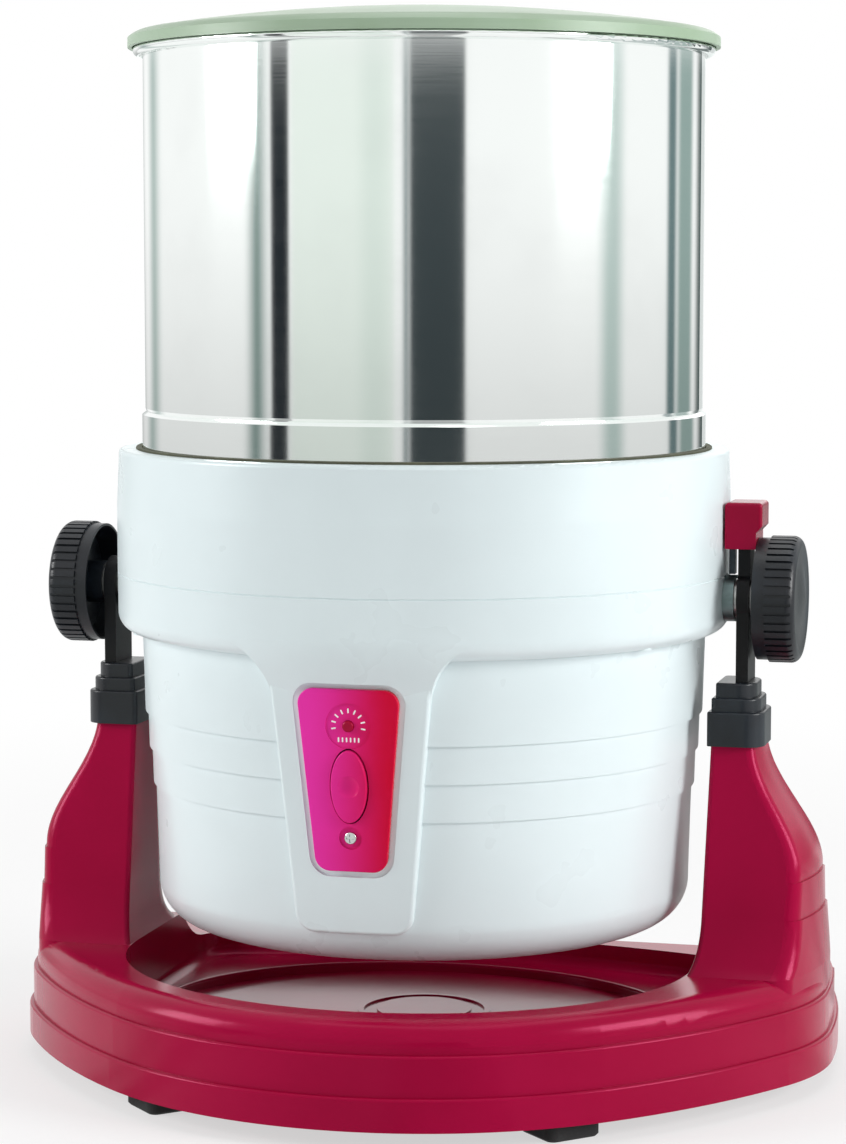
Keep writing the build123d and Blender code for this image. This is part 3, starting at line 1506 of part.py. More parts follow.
with BuildPart() as motor_posts:
    for x, y in post_places:
        post_foot = Plane((x, y, motor_plate_top))
        add_ring(post_foot, post_radius, post_bolt_radius + run_fit, chassis_bottom - motor_plate_top)
motor_posts.part.label = "motor_posts"
export_step(motor_posts.part, "parts/motor_posts.step")

with BuildPart() as motor_bolts:
    for x, y in post_places:
        seat = Plane((x, y, chassis_top))
        add_ring(seat, post_bolt_head_radius, 0, post_bolt_head_height)
        add_ring(seat, post_bolt_radius, 0, motor_top - chassis_top)
motor_bolts.part.label = "motor_bolts"
export_step(motor_bolts.part, "parts/motor_bolts.step")

with BuildPart() as motor_shaft:
    add_ring(
        Plane((0, motor_y, motor_shaft_bottom)), motor_shaft_radius, 0, motor_shaft_top - motor_shaft_bottom
    )
motor_shaft.part.label = "motor_shaft"
export_step(motor_shaft.part, "parts/motor_shaft.step")

with BuildPart() as cooling_fan:
    fan_foot = Plane((0, motor_y, fan_bottom))
    fan_bore = motor_shaft_radius + run_fit
    add_ring(fan_foot, fan_radius, fan_bore, fan_disc_thickness)
    add_ring(fan_foot, fan_hub_radius, fan_bore, fan_height)
    with BuildSketch(fan_foot):
        with PolarLocations((fan_hub_radius + fan_radius) / 2, fan_blade_count):
            Rectangle(fan_radius - fan_hub_radius + overrun, fan_blade_thickness, rotation=fan_blade_turn)
    extrude(amount=fan_height)
    with BuildSketch(fan_foot):
        Circle(2 * fan_radius)
        Circle(fan_radius, mode=Mode.SUBTRACT)
    extrude(amount=fan_height, mode=Mode.SUBTRACT)
cooling_fan.part.label = "cooling_fan"
export_step(cooling_fan.part, "parts/cooling_fan.step")


def belt_loop(gap):
    """The line round both pulleys, held off them by a gap."""
    with BuildSketch() as loop:
        Circle(driven_groove_radius + gap)
        with Locations((0, motor_y)):
            Circle(motor_groove_radius + gap)
        make_hull()
    return loop.sketch


belt_bottom = belt_plane_height - belt_width / 2

with BuildPart() as drive_belt:
    with BuildSketch(Plane.XY.offset(belt_bottom)):
        add(belt_loop(seat_gap + belt_thickness))
        add(belt_loop(seat_gap), mode=Mode.SUBTRACT)
    extrude(amount=belt_width)
drive_belt.part.label = "drive_belt"
export_step(drive_belt.part, "parts/drive_belt.step")

pulley_bottom = belt_bottom - seat_gap - flange_thickness
pulley_width = belt_width + 2 * (seat_gap + flange_thickness)

with BuildPart() as motor_pulley:
    pulley_foot = Plane((0, motor_y, pulley_bottom))
    pulley_bore = motor_shaft_radius + run_fit
    add_ring(pulley_foot, motor_groove_radius, pulley_bore, pulley_width)
    for foot in (0, pulley_width - flange_thickness):
        flange_foot = Plane((0, motor_y, pulley_bottom + foot))
        add_ring(flange_foot, motor_groove_radius + flange_depth, pulley_bore, flange_thickness)
    add_ring(pulley_foot, motor_groove_radius - overrun, pulley_bore, -pulley_collar_height)
motor_pulley.part.label = "motor_pulley"
export_step(motor_pulley.part, "parts/motor_pulley.step")

# Drum, its hub and the driven pulley
with BuildPart() as driven_pulley:
    sleeve_bore = sleeve_radius + run_fit
    pulley_hub_bottom = hub_nut_bottom + hub_nut_height
    add_ring(
        Plane.XY.offset(pulley_hub_bottom), pulley_hub_radius, sleeve_bore,
        lower_bearing_bottom - slide_fit - pulley_hub_bottom,
    )
    web_foot = Plane.XY.offset(belt_plane_height - pulley_web_thickness / 2)
    add_ring(web_foot, driven_groove_radius - overrun, sleeve_bore, pulley_web_thickness)
    rim_foot = Plane.XY.offset(pulley_bottom)
    add_ring(rim_foot, driven_groove_radius, driven_groove_radius - pulley_rim_wall, pulley_width)
    for foot in (0, pulley_width - flange_thickness):
        flange_foot = Plane.XY.offset(pulley_bottom + foot)
        rim_inner = driven_groove_radius - pulley_rim_wall
        add_ring(flange_foot, driven_groove_radius + flange_depth, rim_inner, flange_thickness)
    with BuildSketch(web_foot):
        with PolarLocations(web_hole_ring, web_hole_count):
            Circle(web_hole_radius)
    extrude(amount=pulley_web_thickness, mode=Mode.SUBTRACT)
driven_pulley.part.label = "driven_pulley"
export_step(driven_pulley.part, "parts/driven_pulley.step")

with BuildPart() as hub_nut:
    with BuildSketch(Plane.XY.offset(hub_nut_bottom)):
        RegularPolygon(hub_nut_radius, 6)
        Circle(sleeve_bore, mode=Mode.SUBTRACT)
    extrude(amount=hub_nut_height)
hub_nut.part.label = "hub_nut"
export_step(hub_nut.part, "parts/hub_nut.step")

with BuildPart() as drum_hub:
    hub_flange_bottom = drum_bottom - hub_flange_thickness
    sleeve_bottom = hub_nut_bottom - overrun
    sleeve_inner = sleeve_radius - sleeve_wall
    add_ring(Plane.XY.offset(sleeve_bottom), sleeve_radius, sleeve_inner, drum_bottom - sleeve_bottom)
    add_ring(Plane.XY.offset(hub_flange_bottom), hub_flange_radius, sleeve_inner, hub_flange_thickness)
    shoulder_foot = upper_bearing_bottom + bearing_width + slide_fit
    add_ring(Plane.XY.offset(shoulder_foot), shield_inner_radius, sleeve_inner, drum_bottom - shoulder_foot)
    with BuildSketch(Plane.XY.offset(drum_bottom)):
        with PolarLocations(drive_pin_ring, drive_pin_count):
            Circle(drive_pin_radius)
    extrude(amount=drum_sheet)
drum_hub.part.label = "drum_hub"
export_step(drum_hub.part, "parts/drum_hub.step")

with BuildPart() as drum:
    with BuildSketch(Plane.XZ):
        with BuildLine():
            band_inner = drum_band_radius - drum_sheet
            wall_inner = drum_wall_radius - drum_sheet
            floor_top = drum_bottom + drum_sheet
            outside = Polyline(
                (drum_tube_radius - drum_sheet, drum_tube_top),
                (drum_tube_radius - drum_sheet, drum_bottom),
                (drum_band_radius - drum_corner, drum_bottom),
            )
            lower_corner = RadiusArc(
                outside @ 1, (drum_band_radius, drum_bottom + drum_corner), -drum_corner
            )
            wall = Polyline(
                lower_corner @ 1,
                (drum_band_radius, groove_height - groove_half_width),
                (drum_wall_radius - groove_drop, groove_height),
                (drum_wall_radius, groove_height + groove_half_width),
                (drum_wall_radius, rim_centre_height),
                (wall_inner, rim_centre_height),
                (wall_inner, groove_height),
                (band_inner, groove_height - 2 * groove_half_width),
                (band_inner, drum_bottom + drum_corner),
            )
            inner_corner = RadiusArc(
                wall @ 1, (drum_band_radius - drum_corner, floor_top), drum_corner - drum_sheet
            )
            Polyline(
                inner_corner @ 1, (drum_tube_radius, floor_top),
                (drum_tube_radius, drum_tube_top), outside @ 0,
            )
        make_face()
    revolve(axis=Axis.Z)
    with BuildSketch(Plane.XZ):
        with Locations((drum_rim_radius - rim_roll_radius, rim_centre_height)):
            Circle(rim_roll_radius)
    revolve(axis=Axis.Z)
    with BuildSketch(Plane.XY.offset(drum_bottom)):
        with PolarLocations(drive_pin_ring, drive_pin_count):
            Circle(drive_pin_radius + slide_fit)
    extrude(amount=drum_sheet, mode=Mode.SUBTRACT)
drum.part.label = "drum"
export_step(drum.part, "parts/drum.step")

with BuildPart() as base_stone:
    stone_foot = Plane.XY.offset(drum_bottom + drum_sheet)
    stone_thickness = stone_top - drum_bottom - drum_sheet
    add_ring(stone_foot, stone_radius, drum_tube_radius + stone_tube_gap, stone_thickness)
    chamfer(edges().group_by(Axis.Z)[-1], length=stone_edge)
base_stone.part.label = "base_stone"
export_step(base_stone.part, "parts/base_stone.step")

# Roller stones: cones whose points meet on the drum axis, so that they roll without slip
roller_tilt = math.asin(roller_slope_share)
roller_apex = Vector(0, 0, stone_top + seat_gap)
roller_start = roller_inner_reach * math.cos(roller_tilt)
roller_end = roller_outer_reach * math.cos(roller_tilt)
bush_radius = roller_bore - slide_fit


def axle_direction(side):
    """Outward and upward along one roller's axle."""
    return Vector(side * math.cos(roller_tilt), 0, math.sin(roller_tilt))


def axle_plane(side, distance):
    """A plane square to one roller's axle, at a distance from the point of its cone."""
    return Plane(roller_apex, x_dir=(0, 1, 0), z_dir=axle_direction(side)).offset(distance)


with BuildPart() as stone_frame:
    add_ring(Plane.XY.offset(sleeve_foot), frame_sleeve_radius, 0, frame_cap_top - sleeve_foot)
    add_ring(Plane.XY.offset(frame_cap_top), frame_hub_radius, 0, frame_hub_top - frame_cap_top)
    for side in (-1, 1):
        boss_length = roller_start - overrun - axle_boss_start
        add_ring(axle_plane(side, axle_boss_start), axle_boss_radius, 0, boss_length)
    add_box(
        (-wiper_boss_half_width, 0, wiper_boss_bottom), (wiper_boss_half_width, wiper_boss_end, frame_cap_top)
    )
    slot_half_width = wiper_thickness / 2 + run_fit
    add_box(
        (-slot_half_width, wiper_start - run_fit, wiper_boss_bottom - overrun),
        (slot_half_width, wiper_boss_end + overrun, wiper_top + run_fit),
        mode=Mode.SUBTRACT,
    )
    room_foot = Plane.XY.offset(sleeve_foot - 2 * overrun)
    room_height = frame_cap_top - frame_cap_thickness - sleeve_foot + 2 * overrun
    add_ring(room_foot, frame_sleeve_inner, 0, room_height, mode=Mode.SUBTRACT)
    add_ring(
        room_foot, spindle_radius + run_fit, 0, frame_hub_top - sleeve_foot + 3 * overrun, mode=Mode.SUBTRACT
    )
    for side in (-1, 1):
        add_ring(axle_plane(side, axle_start), axle_radius + run_fit, 0, roller_start, mode=Mode.SUBTRACT)
stone_frame.part.label = "stone_frame"
export_step(stone_frame.part, "parts/stone_frame.step")

with BuildPart() as roller_axles:
    for side in (-1, 1):
        cap_start = roller_end + 2 * seat_gap
        add_ring(axle_plane(side, axle_start), axle_radius, 0, cap_start - axle_start)
        add_ring(axle_plane(side, cap_start), axle_cap_radius, 0, axle_cap_thickness)
roller_axles.part.label = "roller_axles"
export_step(roller_axles.part, "parts/roller_axles.step")

with BuildPart() as right_roller_stone:
    cone_share = math.tan(roller_tilt)
    with BuildSketch(Plane(roller_apex, x_dir=axle_direction(1), z_dir=(0, -1, 0))):
        with BuildLine():
            Polyline(
                (roller_start, roller_bore),
                (roller_end, roller_bore),
                (roller_end, roller_end * cone_share),
                (roller_start, roller_start * cone_share),
                close=True,
            )
        make_face()
    revolve(axis=Axis(roller_apex, axle_direction(1)))
    chamfer(edges().filter_by(GeomType.CIRCLE).sort_by(SortBy.RADIUS)[-1], length=roller_edge)
right_roller_stone.part.label = "right_roller_stone"
export_step(right_roller_stone.part, "parts/right_roller_stone.step")

with BuildPart() as right_roller_bush:
    add_ring(
        axle_plane(1, roller_start - seat_gap), bush_radius,
        axle_radius + run_fit, roller_end - roller_start + 2 * seat_gap,
    )
right_roller_bush.part.label = "right_roller_bush"
export_step(right_roller_bush.part, "parts/right_roller_bush.step")

with BuildPart() as left_roller_stone:
    mirror(right_roller_stone.part, about=Plane.YZ)
left_roller_stone.part.label = "left_roller_stone"
export_step(left_roller_stone.part, "parts/left_roller_stone.step")

with BuildPart() as left_roller_bush:
    mirror(right_roller_bush.part, about=Plane.YZ)
left_roller_bush.part.label = "left_roller_bush"
export_step(left_roller_bush.part, "parts/left_roller_bush.step")

with BuildPart() as wiper:
    wiper_end = drum_wall_radius - drum_sheet - wiper_wall_gap
    with BuildSketch(Plane.YZ.offset(-wiper_thickness / 2)) as blade:
        with BuildLine():
            Polyline(
                (wiper_start, wiper_top),
                (wiper_end, wiper_top),
                (wiper_end, wiper_foot),
                (wiper_end - wiper_blade_width, wiper_foot),
                (wiper_end - wiper_blade_width, wiper_top - wiper_arm_height),
                (wiper_start, wiper_top - wiper_arm_height),
                close=True,
            )
        make_face()
        fillet(blade.vertices().sort_by(Axis.X)[2:], radius=wiper_round)
    extrude(amount=wiper_thickness)
wiper.part.label = "wiper"
export_step(wiper.part, "parts/wiper.step")

with BuildPart() as pressure_spring:
    coil_foot = frame_hub_top + seat_gap + spring_wire_radius
    coil_height = nut_bottom - frame_hub_top - 2 * (seat_gap + spring_wire_radius)
    with BuildLine() as coil:
        Helix(pitch=spring_pitch, height=coil_height, radius=spring_coil_radius, center=(0, 0, coil_foot))
    with BuildSketch(Plane(coil.line @ 0, z_dir=coil.line % 0)):
        Circle(spring_wire_radius)
    sweep()
pressure_spring.part.label = "pressure_spring"
export_step(pressure_spring.part, "parts/pressure_spring.step")

with BuildPart() as frame_lock_nut:
    with BuildSketch(Plane.XY.offset(nut_bottom)):
        Circle(nut_radius)
        with PolarLocations(nut_radius - overrun, nut_lobe_count):
            Circle(nut_lobe_radius)
    extrude(amount=nut_height)
    chamfer(edges().group_by(Axis.Z)[-1], length=nut_edge)
    bore_depth = spindle_top + seat_gap - nut_bottom
    add_ring(Plane.XY.offset(nut_bottom), spindle_radius + run_fit, 0, bore_depth, mode=Mode.SUBTRACT)
frame_lock_nut.part.label = "frame_lock_nut"
export_step(frame_lock_nut.part, "parts/frame_lock_nut.step")

with BuildPart() as lid:
    with BuildSketch(Plane.XZ):
        plug_radius = drum_wall_radius - drum_sheet - lid_skirt_clearance
        lid_seat = rim_top + seat_gap
        with BuildLine():
            crown = TangentArc((0, lid_top), (lid_shoulder_radius, lid_shoulder_height), tangent=(1, 0))
            shoulder = TangentArc(crown @ 1, (lid_radius, lid_edge_top), tangent=crown % 1)
            skirt = Polyline(
                shoulder @ 1,
                (lid_radius, lid_skirt_bottom),
                (drum_rim_radius + lid_skirt_clearance, lid_skirt_bottom),
                (drum_rim_radius + lid_skirt_clearance, lid_seat),
                (plug_radius, lid_seat),
                (plug_radius, lid_seat - lid_plug_depth),
                (plug_radius - lid_wall, lid_seat - lid_plug_depth),
                (plug_radius - lid_wall, lid_shoulder_height - lid_wall),
            )
            TangentArc((0, lid_top - lid_wall), skirt @ 1, tangent=(1, 0))
            Line((0, lid_top - lid_wall), (0, lid_top))
        make_face()
    revolve(axis=Axis.Z)
lid.part.label = "lid"
export_step(lid.part, "parts/lid.step")
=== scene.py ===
"""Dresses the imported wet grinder: a finish for every part, the printed marks, the stage and the camera."""

import math

import bmesh
import bpy
from bpy.props import FloatProperty, FloatVectorProperty, IntProperty, PointerProperty
from mathutils import Euler, Matrix, Vector


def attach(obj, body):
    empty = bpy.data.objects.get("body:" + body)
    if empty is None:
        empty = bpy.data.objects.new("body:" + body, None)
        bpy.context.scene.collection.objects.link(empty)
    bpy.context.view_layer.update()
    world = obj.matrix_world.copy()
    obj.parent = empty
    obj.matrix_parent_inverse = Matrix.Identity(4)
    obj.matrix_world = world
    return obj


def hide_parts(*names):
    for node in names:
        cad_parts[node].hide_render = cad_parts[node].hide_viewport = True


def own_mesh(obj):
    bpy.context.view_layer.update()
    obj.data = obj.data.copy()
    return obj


bl_info = {
    "name": "Wet grinder",
    "version": (1, 0, 0),
    "blender": (4, 5, 0),
    "location": "3D View > Sidebar > Grinder",
    "description": "Finishes, printed marks, stage and camera of a tilting tabletop wet grinder",
    "category": "Object",
}

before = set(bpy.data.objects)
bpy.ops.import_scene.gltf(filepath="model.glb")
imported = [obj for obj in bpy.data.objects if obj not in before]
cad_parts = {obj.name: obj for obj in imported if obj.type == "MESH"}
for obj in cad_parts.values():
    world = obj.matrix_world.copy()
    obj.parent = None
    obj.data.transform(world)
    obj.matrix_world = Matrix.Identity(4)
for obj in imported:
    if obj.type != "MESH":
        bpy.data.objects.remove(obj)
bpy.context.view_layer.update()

# Place of the control panel on the head, in metres
panel_origin = Vector((0, -0.1164, 0.1358))
panel_lean = math.radians(3.9)
disc_rise = 0.0215
disc_recess = 0.0005

# Height of the picture in pixels, which the camera's shift is counted in
picture_height = 1144


# Properties that a user would change
def picked(red, green, blue):
    """A colour picked on a screen, each part from 0 to 255, as linear light."""

    def linear(part):
        level = part / 255
        if level <= 0.04045:
            return level / 12.92
        return ((level + 0.055) / 1.055) ** 2.4

    return (linear(red), linear(green), linear(blue))


def colour(name, description, *screen):
    """A colour property whose default is a screen colour."""
    return FloatVectorProperty(
        name=name, description=description, default=picked(*screen), subtype="COLOR", size=3, min=0, max=1
    )


def length(name, description, default):
    """A length property in metres."""
    return FloatProperty(
        name=name, description=description, default=default, min=0, unit="LENGTH", precision=5
    )


def power(name, description, default):
    """A lamp's power in watts."""
    return FloatProperty(name=name, description=description, default=default, min=0, subtype="POWER")


class GrinderColours(bpy.types.PropertyGroup):
    """Colours of the mouldings, metals and stones."""

    shell: colour("Shell", "White plastic of the head", 224, 236, 238)
    shell_shade: colour("Shell shade", "Slightly bluer patches in the white plastic", 220, 232, 234)
    stand: colour("Stand", "Crimson plastic of the tray and arms", 164, 8, 58)
    stand_deep: colour("Stand deep", "Darker streaks in the crimson plastic", 156, 6, 53)
    panel_left: colour("Panel left", "Magenta side of the control panel", 240, 58, 176)
    panel_right: colour("Panel right", "Red side of the control panel", 206, 4, 34)
    lock: colour("Lock cap", "Red push cap of the tilt lock", 140, 10, 42)
    button: colour("Reset button", "Small red button of the overload cut-out", 208, 18, 60)
    marks: colour("Marks", "Printed ticks round the reset button", 250, 246, 248)
    black: colour("Black plastic", "Collars, knobs and gland", 16, 20, 26)
    black_shade: colour("Black shade", "Bluish bloom on the black plastic", 28, 36, 44)
    lid: colour("Lid", "Pale green lid", 158, 181, 156)
    lid_shade: colour("Lid shade", "Greener patches in the lid", 151, 175, 147)
    seal: colour("Seal", "Dark olive seal ring", 62, 64, 44)
    rubber: colour("Rubber", "Feet, belt and paint of the brackets", 24, 24, 25)
    steel: colour("Steel", "Polished drum", 246, 250, 248)
    zinc: colour("Zinc", "Plated steel parts", 182, 184, 182)
    ground: colour("Ground steel", "Shafts and bearings", 206, 208, 208)
    aluminium: colour("Aluminium", "Cast and turned aluminium", 196, 197, 199)
    boss: colour("Boss", "Dark grey turned bosses at the pivots", 118, 134, 134)
    blued: colour("Blued steel", "Tongue of the tilt lock", 62, 68, 74)
    sheen: colour("Red sheen", "Tint of the gloss on the red mouldings", 255, 120, 170)
    cool_sheen: colour("Cool sheen", "Tint of the gloss on the white mouldings", 236, 246, 250)
    brass: colour("Brass", "Roller bushes", 196, 158, 88)
    nylon: colour("Nylon", "White fan, stone frame and wiper", 228, 226, 214)
    stone: colour("Stone", "Ground mass of the granite", 72, 70, 68)
    stone_pale: colour("Pale crystals", "Pale crystals in the granite", 156, 152, 146)
    stone_dark: colour("Dark crystals", "Black mica in the granite", 22, 22, 24)
    lacquer: colour("Lacquer", "Motor lacquer", 34, 38, 44)


class GrinderDetails(bpy.types.PropertyGroup):
    """Sizes of the printed marks and of the grain in the finishes."""

    tick_count: IntProperty(name="Ticks", description="Ticks over the reset button", default=9, min=3)
    tick_sweep: FloatProperty(
        name="Tick sweep", description="Angle that the ticks spread over", default=math.radians(200),
        subtype="ANGLE",
    )
    tick_ring: length("Tick ring", "Radius of the ring of ticks", 0.0060)
    tick_length: length("Tick length", "Length of a tick outwards", 0.0019)
    tick_width: length("Tick width", "Width of a tick", 0.0006)
    dash_count: IntProperty(name="Dashes", description="Dashes under the reset button", default=6, min=2)
    dash_pitch: length("Dash pitch", "Distance between two dashes", 0.0016)
    dash_drop: length("Dash drop", "Distance of the dashes below the button's middle", 0.0054)
    print_depth: length("Print depth", "Thickness of the printed ink", 0.00006)
    flow: length("Flow", "Size of the soft patches in the mouldings", 0.08)
    peel: length("Peel", "Size of the ripple in glossy mouldings", 0.006)
    spark: length("Spark", "Size of the fine grain in satin mouldings", 0.0008)
    polish: length("Polish", "Spacing of the polishing lines on steel", 0.0007)
    crystal: length("Crystal", "Size of a crystal in the granite", 0.0018)


class GrinderStudio(bpy.types.PropertyGroup):
    """Camera place and light strengths."""

    camera_place: FloatVectorProperty(
        name="Camera", description="Camera's place", default=(0.3253, -1.2762, 0.3346), subtype="XYZ"
    )
    camera_turn: FloatProperty(
        name="Turn", description="Camera's turn about the upright axis", default=0.24962, subtype="ANGLE"
    )
    camera_dip: FloatProperty(
        name="Dip", description="Camera's dip below level", default=0.09783, subtype="ANGLE"
    )
    lens: FloatProperty(name="Lens", description="Lens in millimetres for a 36 mm long side", default=100.0)
    tent_radius: length("Tent radius", "Radius of the tent that the steel mirrors", 3.0)
    tent_height: length("Tent height", "Height of the tent that the steel mirrors", 3.0)
    room_light: FloatProperty(name="Room light", description="Light from all round", default=0.29, min=0)
    left: power("Left", "Large lamp at the left", 25.0)
    right: power("Right", "Large lamp at the right", 31.5)
    top: power("Top", "Large lamp overhead", 11.0)
    back: power("Back", "Low lamp behind, for the well of the tray", 3.5)


# Shader maths
class Wire:
    """A node's output, used in sums and products like a number."""

    def __init__(self, finish, socket):
        self.finish = finish
        self.socket = socket

    def maths(self, operation, first, second):
        """Adds a Math node of two values."""
        return self.finish.add("ShaderNodeMath", {"operation": operation}, {0: first, 1: second})

    def __add__(self, other):
        return self.maths("ADD", self, other)

    def __sub__(self, other):
        return self.maths("SUBTRACT", self, other)

    def __rsub__(self, other):
        return self.maths("SUBTRACT", other, self)

    def __mul__(self, other):
        return self.maths("MULTIPLY", self, other)

    __radd__ = __add__
    __rmul__ = __mul__


class Finish:
    """One procedural material, built node by node."""

    def __init__(self, name, tree=None):
        self.material = None
        if tree is None:
            self.material = bpy.data.materials.new(name)
            self.material.use_nodes = True
            tree = self.material.node_tree
        self.tree = tree
        self.tree.nodes.clear()
        self.place = self.add("ShaderNodeTexCoord", output="Object")

    def add(self, kind, settings=None, inputs=None, output=0):
        """Adds a node: its settings first, then the values or wires of its sockets."""
        node = self.tree.nodes.new(kind)
        for name, value in (settings or {}).items():
            setattr(node, name, value)
        for name, value in (inputs or {}).items():
            socket = node.inputs[name]
            if isinstance(value, Wire):
                self.tree.links.new(value.socket, socket)
            elif socket.type == "RGBA":
                socket.default_value = (*value, 1.0)
            else:
                socket.default_value = value
        return Wire(self, node.outputs[output]) if node.outputs else None

    def axis(self, name):
        """One of the object's own coordinates, in metres."""
        return self.add("ShaderNodeSeparateXYZ", inputs={0: self.place}, output=name)

    def noise(self, size, detail=2.0, stretch=(1, 1, 1)):
        """Soft random patches of about a size in metres, drawn out along the axes with small factors."""
        vector = self.add("ShaderNodeVectorMath", {"operation": "MULTIPLY"}, {0: self.place, 1: stretch})
        return self.add("ShaderNodeTexNoise", inputs={"Vector": vector, "Scale": 1 / size, "Detail": detail})

    def cells(self, size):
        """Distance from the middle of random cells of about the given size in metres."""
        return self.add("ShaderNodeTexVoronoi", inputs={"Vector": self.place, "Scale": 1 / size})

    def fit(self, value, low, high):
        """Takes a range of a value to the range from nothing to one, with soft ends."""
        inputs = {"Value": value, "From Min": low, "From Max": high}
        return self.add("ShaderNodeMapRange", {"interpolation_type": "SMOOTHSTEP"}, inputs)

    def around(self, value, middle, spread):
        """Lets a value from nothing to one vary a number by a spread around its middle."""
        return value * spread + (middle - spread / 2)

    def mix(self, factor, first, second):
        """Goes from the first colour to the second."""
        return self.add("ShaderNodeMix", {"data_type": "RGBA"}, {0: factor, 6: first, 7: second}, output=2)

    def bump(self, height, depth):
        """Raises the surface by a height from nothing to one, times a depth in metres."""
        return self.add("ShaderNodeBump", inputs={"Height": height, "Distance": depth})

    def surface(self, **sockets):
        """Ends the material in a Principled shader with these sockets."""
        named = {name.replace("_", " "): value for name, value in sockets.items()}
        shader = self.add("ShaderNodeBsdfPrincipled", inputs=named)
        return self.finished(shader)

    def finished(self, shader):
        """Links a shader to the material's output."""
        self.add("ShaderNodeOutputMaterial", inputs={"Surface": shader})
        return self.material


# Ranges of a noise or a cell distance that the finishes take to the range from nothing to one
patch_range = (0.35, 0.65)
bloom_range = (0.38, 0.68)
water_mark_range = (0.4, 0.8)
spangle_range = (0.1, 0.8)
wear_range = (0.4, 0.7)
chalk_range = (0.45, 0.75)
pale_crystal_range = (0.56, 0.62)
dark_crystal_range = (0.58, 0.63)
sheet_edge_range = (0.35, 0.65)
thin_ink_range = (0.5, 0.8)

# How much the roughness of a finish varies
haze_spread = 0.04
bloom_spread = 0.12
grain_spread = 0.08
line_spread = 0.04
water_mark_spread = 0.015
spangle_spread = 0.12
skin_spread = 0.15
rubber_spread = 0.2
pit_spread = 0.2
crystal_spread = 0.1
lacquer_spread = 0.2
ink_spread = 0.1
plate_spread = 0.06

# What age does to each part of a main colour: a gain, and what chalk and worn lacquer add
dull_gain = 0.96
spangle_gain = 0.72
worn_gain = 0.8
thin_ink_gain = 0.85
chalk_gain = 1.6
sheet_edge_gain = 1.5
chalk_lift = 0.01

# Shares of two patterns that are added up before they mix two colours
spangle_share = 0.5
sheet_edge_share = 0.6
stain_share = 0.3

# Stretch of a noise along the part's own axes: lines round the upright axis, stacked sheets and flakes
round_lines = (0.02, 0.02, 1)
stacked_sheets = (0.01, 0.01, 1)
flake_shape = (1.3, 1.3, 1.7)

# Depths of the bumps in the finishes, in metres
ripple_depth = 0.00003
spangle_depth = 0.00002
chalk_depth = 0.00008
pit_depth = 0.00018
lamination_depth = 0.00012
ink_depth = 0.00001

# Places on the control panel between which its colour changes, from its left to its right, in metres
panel_magenta_end = -0.020
panel_red_start = 0.018
panel_cloud = 0.012


# Finishes
def aged(main, gain, lift=0.0):
    """A main colour made duller or chalkier."""
    return tuple(part * gain + lift for part in main)


def gloss_moulding(name, main, patch, sheen, details, roughness=0.2, gloss=0.5):
    """Glossy moulded plastic: soft flow patches, a faint ripple and a little handling haze."""
    finish = Finish(name)
    flow = finish.noise(details.flow, detail=3.0)
    ripple = finish.noise(details.peel)
    haze = finish.noise(details.flow / 3, detail=3.0)
    return finish.surface(
        Base_Color=finish.mix(finish.fit(flow, *patch_range), main, patch),
        Roughness=finish.around(haze, roughness, haze_spread),
        Specular_IOR_Level=gloss,
        Specular_Tint=sheen,
        Normal=finish.bump(ripple, ripple_depth),
    )


def satin_moulding(name, main, patch, details, roughness=0.42, depth=0.00004, gloss=0.4):
    """Satin moulded plastic with a fine sparked grain and a dusty bloom."""
    finish = Finish(name)
    bloom = finish.noise(details.flow / 2, detail=4.0)
    grain = finish.noise(details.spark, detail=1.0)
    return finish.surface(
        Base_Color=finish.mix(finish.fit(bloom, *bloom_range), main, patch),
        Roughness=bloom * bloom_spread + finish.around(grain, roughness - bloom_spread / 2, grain_spread),
        Specular_IOR_Level=gloss,
        Normal=finish.bump(grain, depth),
    )


def panel_gloss(name, left, right, sheen, roughness=0.23, gloss=0.25, cloud_share=0.08):
    """Glossy plate whose colour runs from one side to the other."""
    finish = Finish(name)
    across = finish.fit(finish.axis("X"), panel_magenta_end, panel_red_start)
    cloud = finish.noise(panel_cloud)
    return finish.surface(
        Base_Color=finish.mix(across * (1 - cloud_share) + cloud * cloud_share, left, right),
        Roughness=finish.around(cloud, roughness, plate_spread),
        Specular_IOR_Level=gloss,
        Specular_Tint=sheen,
        Normal=finish.bump(cloud, ripple_depth),
    )


def polished_steel(name, main, details, roughness=0.08, depth=0.0000012):
    """Polished or turned steel with fine lines round the upright axis and faint water marks."""
    finish = Finish(name)
    lines = finish.noise(details.polish, stretch=round_lines)
    marks = finish.fit(finish.noise(details.flow / 2, detail=4.0), *water_mark_range)
    dull = aged(main, dull_gain)
    return finish.surface(
        Base_Color=finish.mix(marks, main, dull),
        Metallic=1.0,
        Roughness=marks * water_mark_spread + finish.around(lines, roughness, line_spread),
        Normal=finish.bump(lines, depth),
    )


def plated_steel(name, main, details, roughness=0.34):
    """Zinc plated steel with a faint spangle."""
    finish = Finish(name)
    spangle = finish.cells(details.crystal)
    cloud = finish.noise(details.flow / 8, detail=3.0)
    grey = aged(main, spangle_gain)
    spots = finish.fit(spangle, *spangle_range)
    return finish.surface(
        Base_Color=finish.mix(spots * spangle_share + cloud * stain_share, main, grey),
        Metallic=1.0,
        Roughness=(spangle + cloud) * spangle_spread + (roughness - spangle_spread),
        Normal=finish.bump(cloud, spangle_depth),
    )


